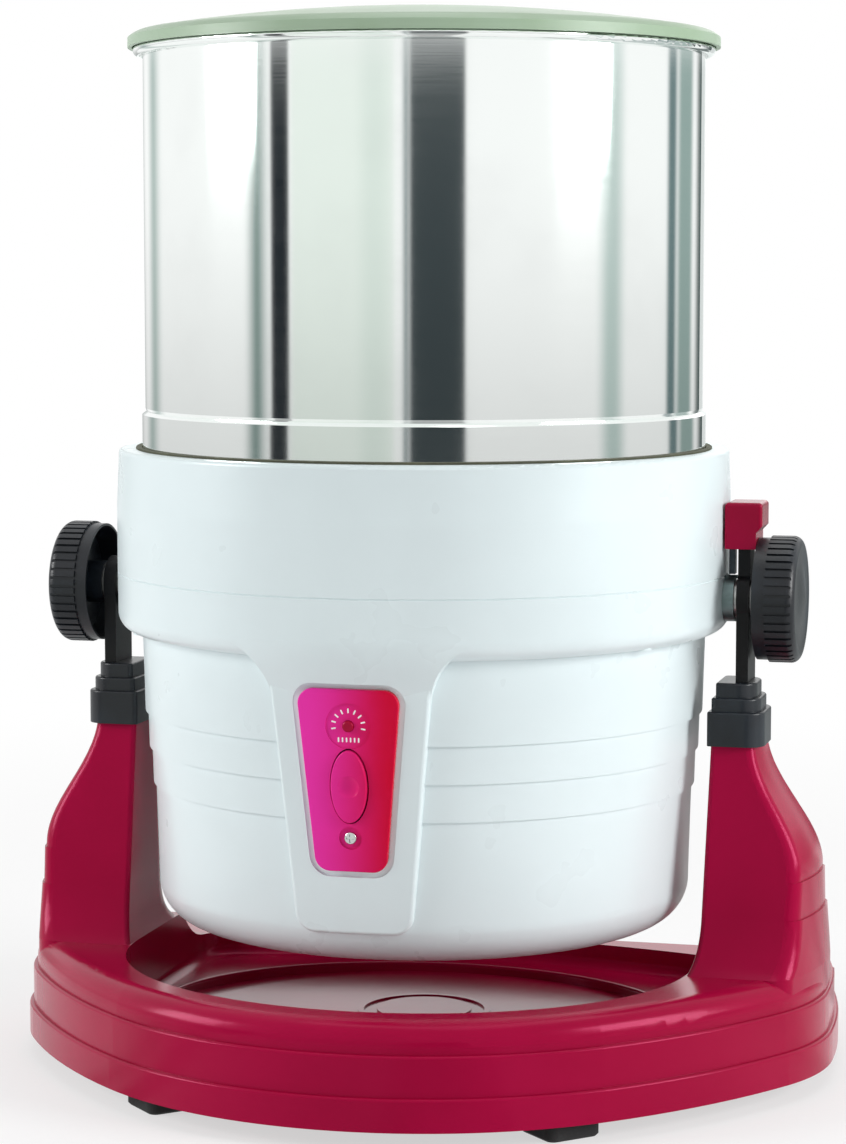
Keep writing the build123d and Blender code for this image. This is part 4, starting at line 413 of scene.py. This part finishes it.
def cast_metal(name, main, details, roughness=0.455, depth=0.00006):
    """Cast or drawn metal with a pebbled skin."""
    finish = Finish(name)
    skin = finish.noise(details.spark * 1.5, detail=3.0)
    cloud = finish.noise(details.flow / 6, detail=3.0)
    worn = aged(main, worn_gain)
    return finish.surface(
        Base_Color=finish.mix(finish.fit(cloud, *wear_range), main, worn),
        Metallic=1.0,
        Roughness=finish.around(skin, roughness, skin_spread),
        Normal=finish.bump(skin, depth),
    )


def moulded_rubber(name, main, details, roughness=0.75):
    """Matt rubber with a chalky bloom."""
    finish = Finish(name)
    grain = finish.noise(details.spark)
    bloom = finish.noise(details.flow / 5, detail=4.0)
    chalk = aged(main, chalk_gain, chalk_lift)
    return finish.surface(
        Base_Color=finish.mix(finish.fit(bloom, *chalk_range), main, chalk),
        Roughness=finish.around(grain, roughness, rubber_spread),
        Normal=finish.bump(grain, chalk_depth),
    )


def dressed_granite(name, ground, pale, dark, details, roughness=0.6):
    """Dark granite: pale and black crystals, and a finely dressed, slightly pitted face."""
    finish = Finish(name)
    light_spots = finish.fit(finish.noise(details.crystal, detail=4.0), *pale_crystal_range)
    flakes = finish.noise(details.crystal * 0.8, detail=3.0, stretch=flake_shape)
    dark_spots = finish.fit(flakes, *dark_crystal_range)
    pits = finish.noise(details.crystal / 3, detail=3.0)
    spotted = finish.mix(light_spots, ground, pale)
    return finish.surface(
        Base_Color=finish.mix(dark_spots, spotted, dark),
        Roughness=light_spots * crystal_spread + finish.around(pits, roughness, pit_spread),
        Normal=finish.bump(pits, pit_depth),
    )


def stacked_laminations(name, main, details, roughness=0.45):
    """Lacquered motor with the fine edges of its stacked sheets."""
    finish = Finish(name)
    sheets = finish.noise(details.spark, detail=1.0, stretch=stacked_sheets)
    cloud = finish.noise(details.flow / 5, detail=3.0)
    worn = aged(main, sheet_edge_gain, chalk_lift)
    edges = finish.fit(sheets, *sheet_edge_range)
    return finish.surface(
        Base_Color=finish.mix(edges * sheet_edge_share + cloud * stain_share, main, worn),
        Roughness=finish.around(cloud, roughness, lacquer_spread),
        Normal=finish.bump(sheets, lamination_depth),
    )


def printed_ink(name, main, details, roughness=0.4):
    """Opaque printed ink with slightly uneven cover."""
    finish = Finish(name)
    cover = finish.noise(details.spark)
    thin = aged(main, thin_ink_gain)
    return finish.surface(
        Base_Color=finish.mix(finish.fit(cover, *thin_ink_range), main, thin),
        Roughness=finish.around(cover, roughness, ink_spread),
        Normal=finish.bump(cover, ink_depth),
    )


def dress(material, *nodes):
    """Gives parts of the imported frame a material."""
    for node in nodes:
        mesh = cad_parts[node].data
        mesh.materials.clear()
        mesh.materials.append(material)


# Small pieces that the frame doesn't have
def panel_matrix():
    """Takes panel coordinates (right, up, outwards) to the frame."""
    return Matrix.Translation(panel_origin) @ Euler((math.pi / 2 + panel_lean, 0, 0)).to_matrix().to_4x4()


def printed_bar(mesh, place, width, height, depth):
    """Adds a thin bar with round ends to a mesh, upright at a place."""
    end_radius = width / 2
    end_steps = 8
    outline = []
    for end, start_angle in ((1, 0), (-1, math.pi)):
        for step in range(end_steps + 1):
            angle = start_angle + math.pi * step / end_steps
            across = end_radius * math.cos(angle)
            along = end * (height / 2 - end_radius) + end_radius * math.sin(angle)
            outline.append(Vector((across, along, 0)))
    lower = [mesh.verts.new(place @ point) for point in outline]
    upper = [mesh.verts.new(place @ (point + Vector((0, 0, depth)))) for point in outline]
    mesh.faces.new(reversed(lower))
    mesh.faces.new(upper)
    for index in range(len(outline)):
        after = (index + 1) % len(outline)
        mesh.faces.new((lower[index], lower[after], upper[after], upper[index]))


def new_object(name, mesh):
    """Makes an object of an edited mesh."""
    data = bpy.data.meshes.new(name)
    mesh.to_mesh(data)
    mesh.free()
    made = bpy.data.objects.new(name, data)
    bpy.context.scene.collection.objects.link(made)
    return made


def pressed_spring():
    """A copy of the spring on the spindle, with a mesh of its own, carried by the head in place of the
    spring itself.
    """
    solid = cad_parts["pressure_spring"]
    coil = bpy.data.objects.new("pressed_spring", solid.data.copy())
    coil.matrix_world = solid.matrix_world
    bpy.context.scene.collection.objects.link(coil)
    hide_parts("pressure_spring")
    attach(coil, "head")
    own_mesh(coil)


# Operators
class DressStand(bpy.types.Operator):
    """Finishes the tray stand, its feet, collars and steel brackets"""

    bl_idname = "grinder.stand"
    bl_label = "Stand"

    def execute(self, context):
        colours = context.scene.grinder_colours
        details = context.scene.grinder_details
        crimson = gloss_moulding(
            "crimson_gloss", colours.stand, colours.stand_deep, colours.sheen, details, gloss=0.3
        )
        dress(crimson, "stand_base")
        dress(moulded_rubber("foot_rubber", colours.rubber, details), "base_feet")
        dress(plated_steel("screw_zinc", colours.zinc, details), "stand_screws")
        black = satin_moulding("collar_satin", colours.black, colours.black_shade, details, roughness=0.34)
        dress(black, "left_collar", "right_collar")
        paint = satin_moulding(
            "bracket_paint", colours.rubber, colours.black, details,
            roughness=0.38, depth=0.00002, gloss=0.15,
        )
        dress(paint, "left_bracket", "right_bracket")
        return {"FINISHED"}


class DressLock(bpy.types.Operator):
    """Finishes the push cap and tongue of the tilt lock"""

    bl_idname = "grinder.lock"
    bl_label = "Tilt lock"

    def execute(self, context):
        colours = context.scene.grinder_colours
        details = context.scene.grinder_details
        red = gloss_moulding("lock_gloss", colours.lock, colours.stand_deep, colours.sheen, details)
        dress(red, "lock_cap")
        dress(plated_steel("tongue_blued", colours.blued, details), "lock_tongue")
        return {"FINISHED"}


class DressHead(bpy.types.Operator):
    """Finishes the white shells, the covers under them, the seal and the cable gland"""

    bl_idname = "grinder.head"
    bl_label = "Head shells"

    def execute(self, context):
        colours = context.scene.grinder_colours
        details = context.scene.grinder_details
        white = gloss_moulding(
            "shell_gloss", colours.shell, colours.shell_shade, colours.cool_sheen, details, roughness=0.28
        )
        dress(white, "upper_shell", "lower_shell", "bottom_cover", "hub_cover")
        black = satin_moulding("gland_satin", colours.black, colours.black_shade, details, roughness=0.4)
        dress(black, "cord_gland")
        dress(moulded_rubber("seal_rubber", colours.seal, details), "drum_seal")
        dress(plated_steel("cover_zinc", colours.zinc, details), "cover_screws")
        return {"FINISHED"}


class DressPivots(bpy.types.Operator):
    """Finishes the pivot bosses, their studs and the ribbed clamp knobs"""

    bl_idname = "grinder.pivots"
    bl_label = "Pivots and knobs"

    def execute(self, context):
        colours = context.scene.grinder_colours
        details = context.scene.grinder_details
        dress(cast_metal("boss_turned", colours.boss, details, roughness=0.405), "pivot_bosses")
        dress(plated_steel("stud_zinc", colours.zinc, details), "pivot_studs", "clamp_washers")
        black = satin_moulding(
            "knob_satin", colours.black, colours.black_shade, details, roughness=0.36, depth=0.00005
        )
        dress(black, "left_knob", "right_knob")
        return {"FINISHED"}


class DressPanel(bpy.types.Operator):
    """Finishes the control panel, its rocker key, reset button and screw"""

    bl_idname = "grinder.panel"
    bl_label = "Control panel"

    def execute(self, context):
        colours = context.scene.grinder_colours
        details = context.scene.grinder_details
        plate = panel_gloss("panel_gloss", colours.panel_left, colours.panel_right, colours.sheen)
        dress(plate, "control_panel")
        key = panel_gloss("key_gloss", colours.panel_left, colours.panel_right, colours.sheen)
        dress(key, "rocker_key")
        red = gloss_moulding("button_gloss", colours.button, colours.lock, colours.sheen, details)
        dress(red, "reset_button")
        dress(polished_steel("screw_bright", colours.ground, details, roughness=0.16), "panel_screw")
        return {"FINISHED"}


class PrintMarks(bpy.types.Operator):
    """Prints the plain ticks and dashes round the reset button"""

    bl_idname = "grinder.marks"
    bl_label = "Printed marks"

    def execute(self, context):
        details = context.scene.grinder_details
        centre = panel_matrix() @ Matrix.Translation((0, disc_rise, -disc_recess))
        mesh = bmesh.new()
        for index in range(details.tick_count):
            spread = index / (details.tick_count - 1) - 0.5
            turn = Matrix.Rotation(-spread * details.tick_sweep, 4, "Z")
            place = centre @ turn @ Matrix.Translation((0, details.tick_ring, 0))
            printed_bar(mesh, place, details.tick_width, details.tick_length, details.print_depth)
        for index in range(details.dash_count):
            across = (index - (details.dash_count - 1) / 2) * details.dash_pitch
            place = centre @ Matrix.Translation((across, -details.dash_drop, 0))
            printed_bar(mesh, place, details.tick_width, details.tick_length, details.print_depth)
        marks = new_object("printed_marks", mesh)
        ink = printed_ink("mark_ink", context.scene.grinder_colours.marks, details)
        marks.data.materials.append(ink)
        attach(marks, "head")
        return {"FINISHED"}


class DressDrum(bpy.types.Operator):
    """Finishes the polished drum, its hub and the lid"""

    bl_idname = "grinder.drum"
    bl_label = "Drum and lid"

    def execute(self, context):
        colours = context.scene.grinder_colours
        details = context.scene.grinder_details
        dress(polished_steel("drum_polish", colours.steel, details), "drum")
        dress(polished_steel("hub_steel", colours.ground, details, roughness=0.2), "drum_hub")
        dress(plated_steel("nut_zinc", colours.zinc, details), "hub_nut")
        lid = satin_moulding(
            "lid_satin", colours.lid, colours.lid_shade, details, roughness=0.36, depth=0.00002
        )
        dress(lid, "lid")
        return {"FINISHED"}


class DressStones(bpy.types.Operator):
    """Finishes the base stone, the roller stones and the frame that carries them"""

    bl_idname = "grinder.stones"
    bl_label = "Stones and frame"

    def execute(self, context):
        colours = context.scene.grinder_colours
        details = context.scene.grinder_details
        granite = dressed_granite(
            "granite_dressed", colours.stone, colours.stone_pale, colours.stone_dark, details
        )
        dress(granite, "base_stone", "left_roller_stone", "right_roller_stone")
        nylon = satin_moulding("nylon_white", colours.nylon, colours.lid, details, roughness=0.45)
        dress(nylon, "stone_frame", "wiper")
        steel = polished_steel("axle_steel", colours.ground, details, roughness=0.2)
        dress(steel, "roller_axles", "pressure_spring")
        pressed_spring()
        brass = cast_metal("bush_brass", colours.brass, details, roughness=0.305)
        dress(brass, "left_roller_bush", "right_roller_bush")
        dress(satin_moulding("nut_satin", colours.black, colours.black_shade, details), "frame_lock_nut")
        return {"FINISHED"}


class DressDrive(bpy.types.Operator):
    """Finishes the chassis, spindle, bearings, motor, pulleys, belt and fan"""

    bl_idname = "grinder.drive"
    bl_label = "Drive"

    def execute(self, context):
        colours = context.scene.grinder_colours
        details = context.scene.grinder_details
        zinc = plated_steel("chassis_zinc", colours.zinc, details)
        dress(zinc, "chassis_plate", "shaft_bridge", "chassis_screws", "shaft_nut")
        dress(zinc, "motor_posts", "motor_bolts")
        cast = cast_metal("housing_cast", colours.aluminium, details)
        dress(cast, "bearing_housing", "driven_pulley", "motor_pulley")
        shaft = polished_steel("shaft_steel", colours.ground, details, roughness=0.18)
        dress(shaft, "centre_shaft", "motor_shaft")
        dress(polished_steel("bearing_steel", colours.ground, details, roughness=0.12), "drum_bearings")
        dress(stacked_laminations("motor_lacquer", colours.lacquer, details), "motor_body")
        dress(moulded_rubber("belt_rubber", colours.rubber, details), "drive_belt")
        dress(satin_moulding("fan_nylon", colours.nylon, colours.lid, details), "cooling_fan")
        return {"FINISHED"}


class DressElectrics(bpy.types.Operator):
    """Finishes the switch body, overload cut-out, rocker pin and run capacitor"""

    bl_idname = "grinder.electrics"
    bl_label = "Electrics"

    def execute(self, context):
        colours = context.scene.grinder_colours
        details = context.scene.grinder_details
        black = satin_moulding("switch_satin", colours.black, colours.black_shade, details)
        dress(black, "switch_body", "overload_breaker")
        dress(plated_steel("pin_zinc", colours.zinc, details), "rocker_pin")
        can = cast_metal("can_drawn", colours.aluminium, details, roughness=0.305, depth=0.00002)
        dress(can, "run_capacitor")
        return {"FINISHED"}


# What the polished drum mirrors: strips of the tent, from and to an angle in degrees seen from above,
# counted from the front towards the right, each with its soft edge and its screen colour
tent_strips = (
    (-200, -140, 30, (116, 134, 130)),  # far left corner
    (-140, -116, 14, (172, 188, 184)),  # left corner
    (-62, -48, 8, (100, 128, 122)),  # grey cloth
    (-48.6, -39.9, 0.8, (16, 24, 32)),  # navy post
    (-40.3, 4, 3, (238, 245, 239)),  # cream wall
    (-14, 4, 8, (226, 236, 229)),  # shaded wall
    (5.5, 9, 1.5, (142, 152, 154)),  # door edge
    (8, 31, 1.6, (60, 68, 71)),  # dark door
    (85, 103, 8, (190, 206, 202)),  # soft fold
    (127, 138, 4, (104, 126, 128)),  # right post
    (135, 156, 6, (150, 170, 166)),  # right corner
    (156, 200, 10, (52, 74, 72)),  # far right corner
)

# Heights in metres between which the tent darkens downwards and its strips end upwards,
# and its lowest share of light
tent_dark_height = -0.1
tent_lit_height = 0.5
tent_dark_share = 0.62
strips_fade_height = 0.58
strips_end_height = 0.68
tent_segments = 360

# Floor: its half size and grain, and where it fades into white, in metres and as shares
floor_half_size = 20.0
floor_cells = 8
floor_grain = 0.004
floor_low = (0.86, 0.86, 0.86)
floor_high = (0.9, 0.9, 0.9)
floor_roughness = 0.9
floor_fade_start = 0.25
floor_fade_end = 1.1
floor_white_share = 0.6
floor_mirror_share = 0.85

# Each lamp's place, the point that it faces and its width, in metres
stage_lamps = (
    ("left", (-1.84, -0.78, 0.9), (0, 0, 0.2), 0.9),
    ("right", (1.97, -0.35, 0.9), (0, 0, 0.2), 0.9),
    ("top", (0.1, 0.3, 2.2), (0, 0, 0.2), 1.6),
    ("back", (-0.2, 1.9, 0.55), (0, 0, 0.03), 1.3),
)


def strip_colour(finish):
    """The strips of light and shade round the object, by the angle of a point seen from above."""
    angle = finish.add(
        "ShaderNodeMath", {"operation": "ARCTAN2"}, {0: finish.axis("X"), 1: 0.0 - finish.axis("Y")}
    )
    degrees = angle * math.degrees(1)
    cloth = picked(255, 255, 255)
    for start, end, edge, screen in tent_strips:
        inside = finish.fit(degrees, start, start + edge) - finish.fit(degrees, end - edge, end)
        cloth = finish.mix(inside, cloth, picked(*screen))
    return cloth


def tent_material():
    """Glowing cloth with the strips of shade that polished steel mirrors."""
    finish = Finish("tent_cloth")
    cloth = strip_colour(finish)
    height = finish.axis("Z")
    rise = finish.fit(height, tent_dark_height, tent_lit_height)
    lit = finish.mix(rise * (1 - tent_dark_share) + tent_dark_share, (0, 0, 0), cloth)
    above = finish.fit(height, strips_fade_height, strips_end_height)
    glow = finish.add("ShaderNodeEmission", inputs={"Color": finish.mix(above, lit, (1, 1, 1))})
    return finish.finished(glow)


def background_rays(finish):
    """One for rays that should see a plain white background, nothing for rays that light the object."""
    seen = 0.0
    for kind in ("Camera", "Glossy", "Transmission"):
        seen = finish.add("ShaderNodeLightPath", output=f"Is {kind} Ray") + seen
    return finish.fit(seen, 0.0, 1.0)


def floor_material():
    """Pale floor that fades into the white background away from the object."""
    finish = Finish("floor_pale")
    grain = finish.noise(floor_grain)
    pale = {"Base Color": finish.mix(grain, floor_low, floor_high), "Roughness": floor_roughness}
    sheet = finish.add("ShaderNodeBsdfPrincipled", inputs=pale)
    mirrored = finish.add("ShaderNodeLightPath", output="Is Glossy Ray")
    seen = finish.mix(mirrored * floor_mirror_share, (1, 1, 1), strip_colour(finish))
    white = finish.add("ShaderNodeEmission", inputs={"Color": seen})
    distance = finish.add("ShaderNodeVectorMath", {"operation": "LENGTH"}, {0: finish.place}, output="Value")
    away = finish.fit(distance, floor_fade_start, floor_fade_end)
    fading = away * (1 - floor_white_share) + floor_white_share
    return finish.finished(
        finish.add("ShaderNodeMixShader", inputs={0: background_rays(finish) * fading, 1: sheet, 2: white})
    )


def light_room(strength):
    """Even light from all round, and a white background behind the object."""
    world = bpy.data.worlds.new("white_room")
    bpy.context.scene.world = world
    world.use_nodes = True
    finish = Finish("white_room", world.node_tree)
    seen = background_rays(finish)
    level = seen * (1 - strength) + strength
    sky = finish.add("ShaderNodeBackground", inputs={"Color": (1, 1, 1), "Strength": level})
    finish.add("ShaderNodeOutputWorld", inputs={"Surface": sky})


def add_lamp(name, place, target, size, watts):
    """A square soft lamp at a place, turned to a target."""
    data = bpy.data.lights.new(name, "AREA")
    data.size = size
    data.energy = watts
    lamp = bpy.data.objects.new(name, data)
    lamp.location = place
    lamp.rotation_euler = (Vector(target) - Vector(place)).to_track_quat("-Z", "Y").to_euler()
    bpy.context.scene.collection.objects.link(lamp)


class SetStage(bpy.types.Operator):
    """Sets the floor, the reflection tent, the lamps and the camera"""

    bl_idname = "grinder.stage"
    bl_label = "Stage"

    def execute(self, context):
        studio = context.scene.grinder_studio
        scene = context.scene
        scene.view_settings.view_transform = "Standard"
        light_room(studio.room_light)

        floor_mesh = bmesh.new()
        bmesh.ops.create_grid(
            floor_mesh, x_segments=floor_cells, y_segments=floor_cells, size=floor_half_size
        )
        floor = new_object("floor", floor_mesh)
        floor.data.materials.append(floor_material())

        tent_mesh = bmesh.new()
        bmesh.ops.create_cone(
            tent_mesh, segments=tent_segments, radius1=studio.tent_radius, radius2=studio.tent_radius,
            depth=studio.tent_height,
        )
        bmesh.ops.translate(tent_mesh, verts=tent_mesh.verts, vec=(0, 0, studio.tent_height / 2))
        tent = new_object("tent", tent_mesh)
        tent.data.materials.append(tent_material())
        tent.visible_camera = False
        tent.visible_diffuse = False
        tent.visible_transmission = False
        tent.visible_shadow = False

        for side, place, target, size in stage_lamps:
            add_lamp(f"{side}_lamp", place, target, size, getattr(studio, side))

        data = bpy.data.cameras.new("camera")
        data.lens = studio.lens
        data.shift_x = -1 / picture_height
        camera = bpy.data.objects.new("camera", data)
        camera.location = studio.camera_place
        camera.rotation_euler = (math.pi / 2 - studio.camera_dip, 0, studio.camera_turn)
        scene.collection.objects.link(camera)
        scene.camera = camera
        return {"FINISHED"}


operators = (
    DressStand,
    DressLock,
    DressHead,
    DressPivots,
    DressPanel,
    PrintMarks,
    DressDrum,
    DressStones,
    DressDrive,
    DressElectrics,
    SetStage,
)


class GrinderPanel(bpy.types.Panel):
    """Lists the grinder's pieces and their sizes and colours"""

    bl_idname = "VIEW3D_PT_grinder"
    bl_label = "Wet grinder"
    bl_space_type = "VIEW_3D"
    bl_region_type = "UI"
    bl_category = "Grinder"

    def draw(self, context):
        for operator in operators:
            self.layout.operator(operator.bl_idname)
        for group in (
            context.scene.grinder_colours,
            context.scene.grinder_details,
            context.scene.grinder_studio,
        ):
            box = self.layout.box()
            for name in group.bl_rna.properties.keys():
                if name not in ("rna_type", "name"):
                    box.prop(group, name)


classes = (GrinderColours, GrinderDetails, GrinderStudio, *operators, GrinderPanel)


def register():
    for each in classes:
        bpy.utils.register_class(each)
    bpy.types.Scene.grinder_colours = PointerProperty(type=GrinderColours)
    bpy.types.Scene.grinder_details = PointerProperty(type=GrinderDetails)
    bpy.types.Scene.grinder_studio = PointerProperty(type=GrinderStudio)


def unregister():
    del bpy.types.Scene.grinder_studio
    del bpy.types.Scene.grinder_details
    del bpy.types.Scene.grinder_colours
    for each in reversed(classes):
        bpy.utils.unregister_class(each)


def main():
    """Registers the add-on and makes every piece in order."""
    register()
    bpy.ops.grinder.stand()
    bpy.ops.grinder.lock()
    bpy.ops.grinder.head()
    bpy.ops.grinder.pivots()
    bpy.ops.grinder.panel()
    bpy.ops.grinder.marks()
    bpy.ops.grinder.drum()
    bpy.ops.grinder.stones()
    bpy.ops.grinder.drive()
    bpy.ops.grinder.electrics()
    bpy.ops.grinder.stage()
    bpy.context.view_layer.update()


if __name__ == "__main__":
    main()
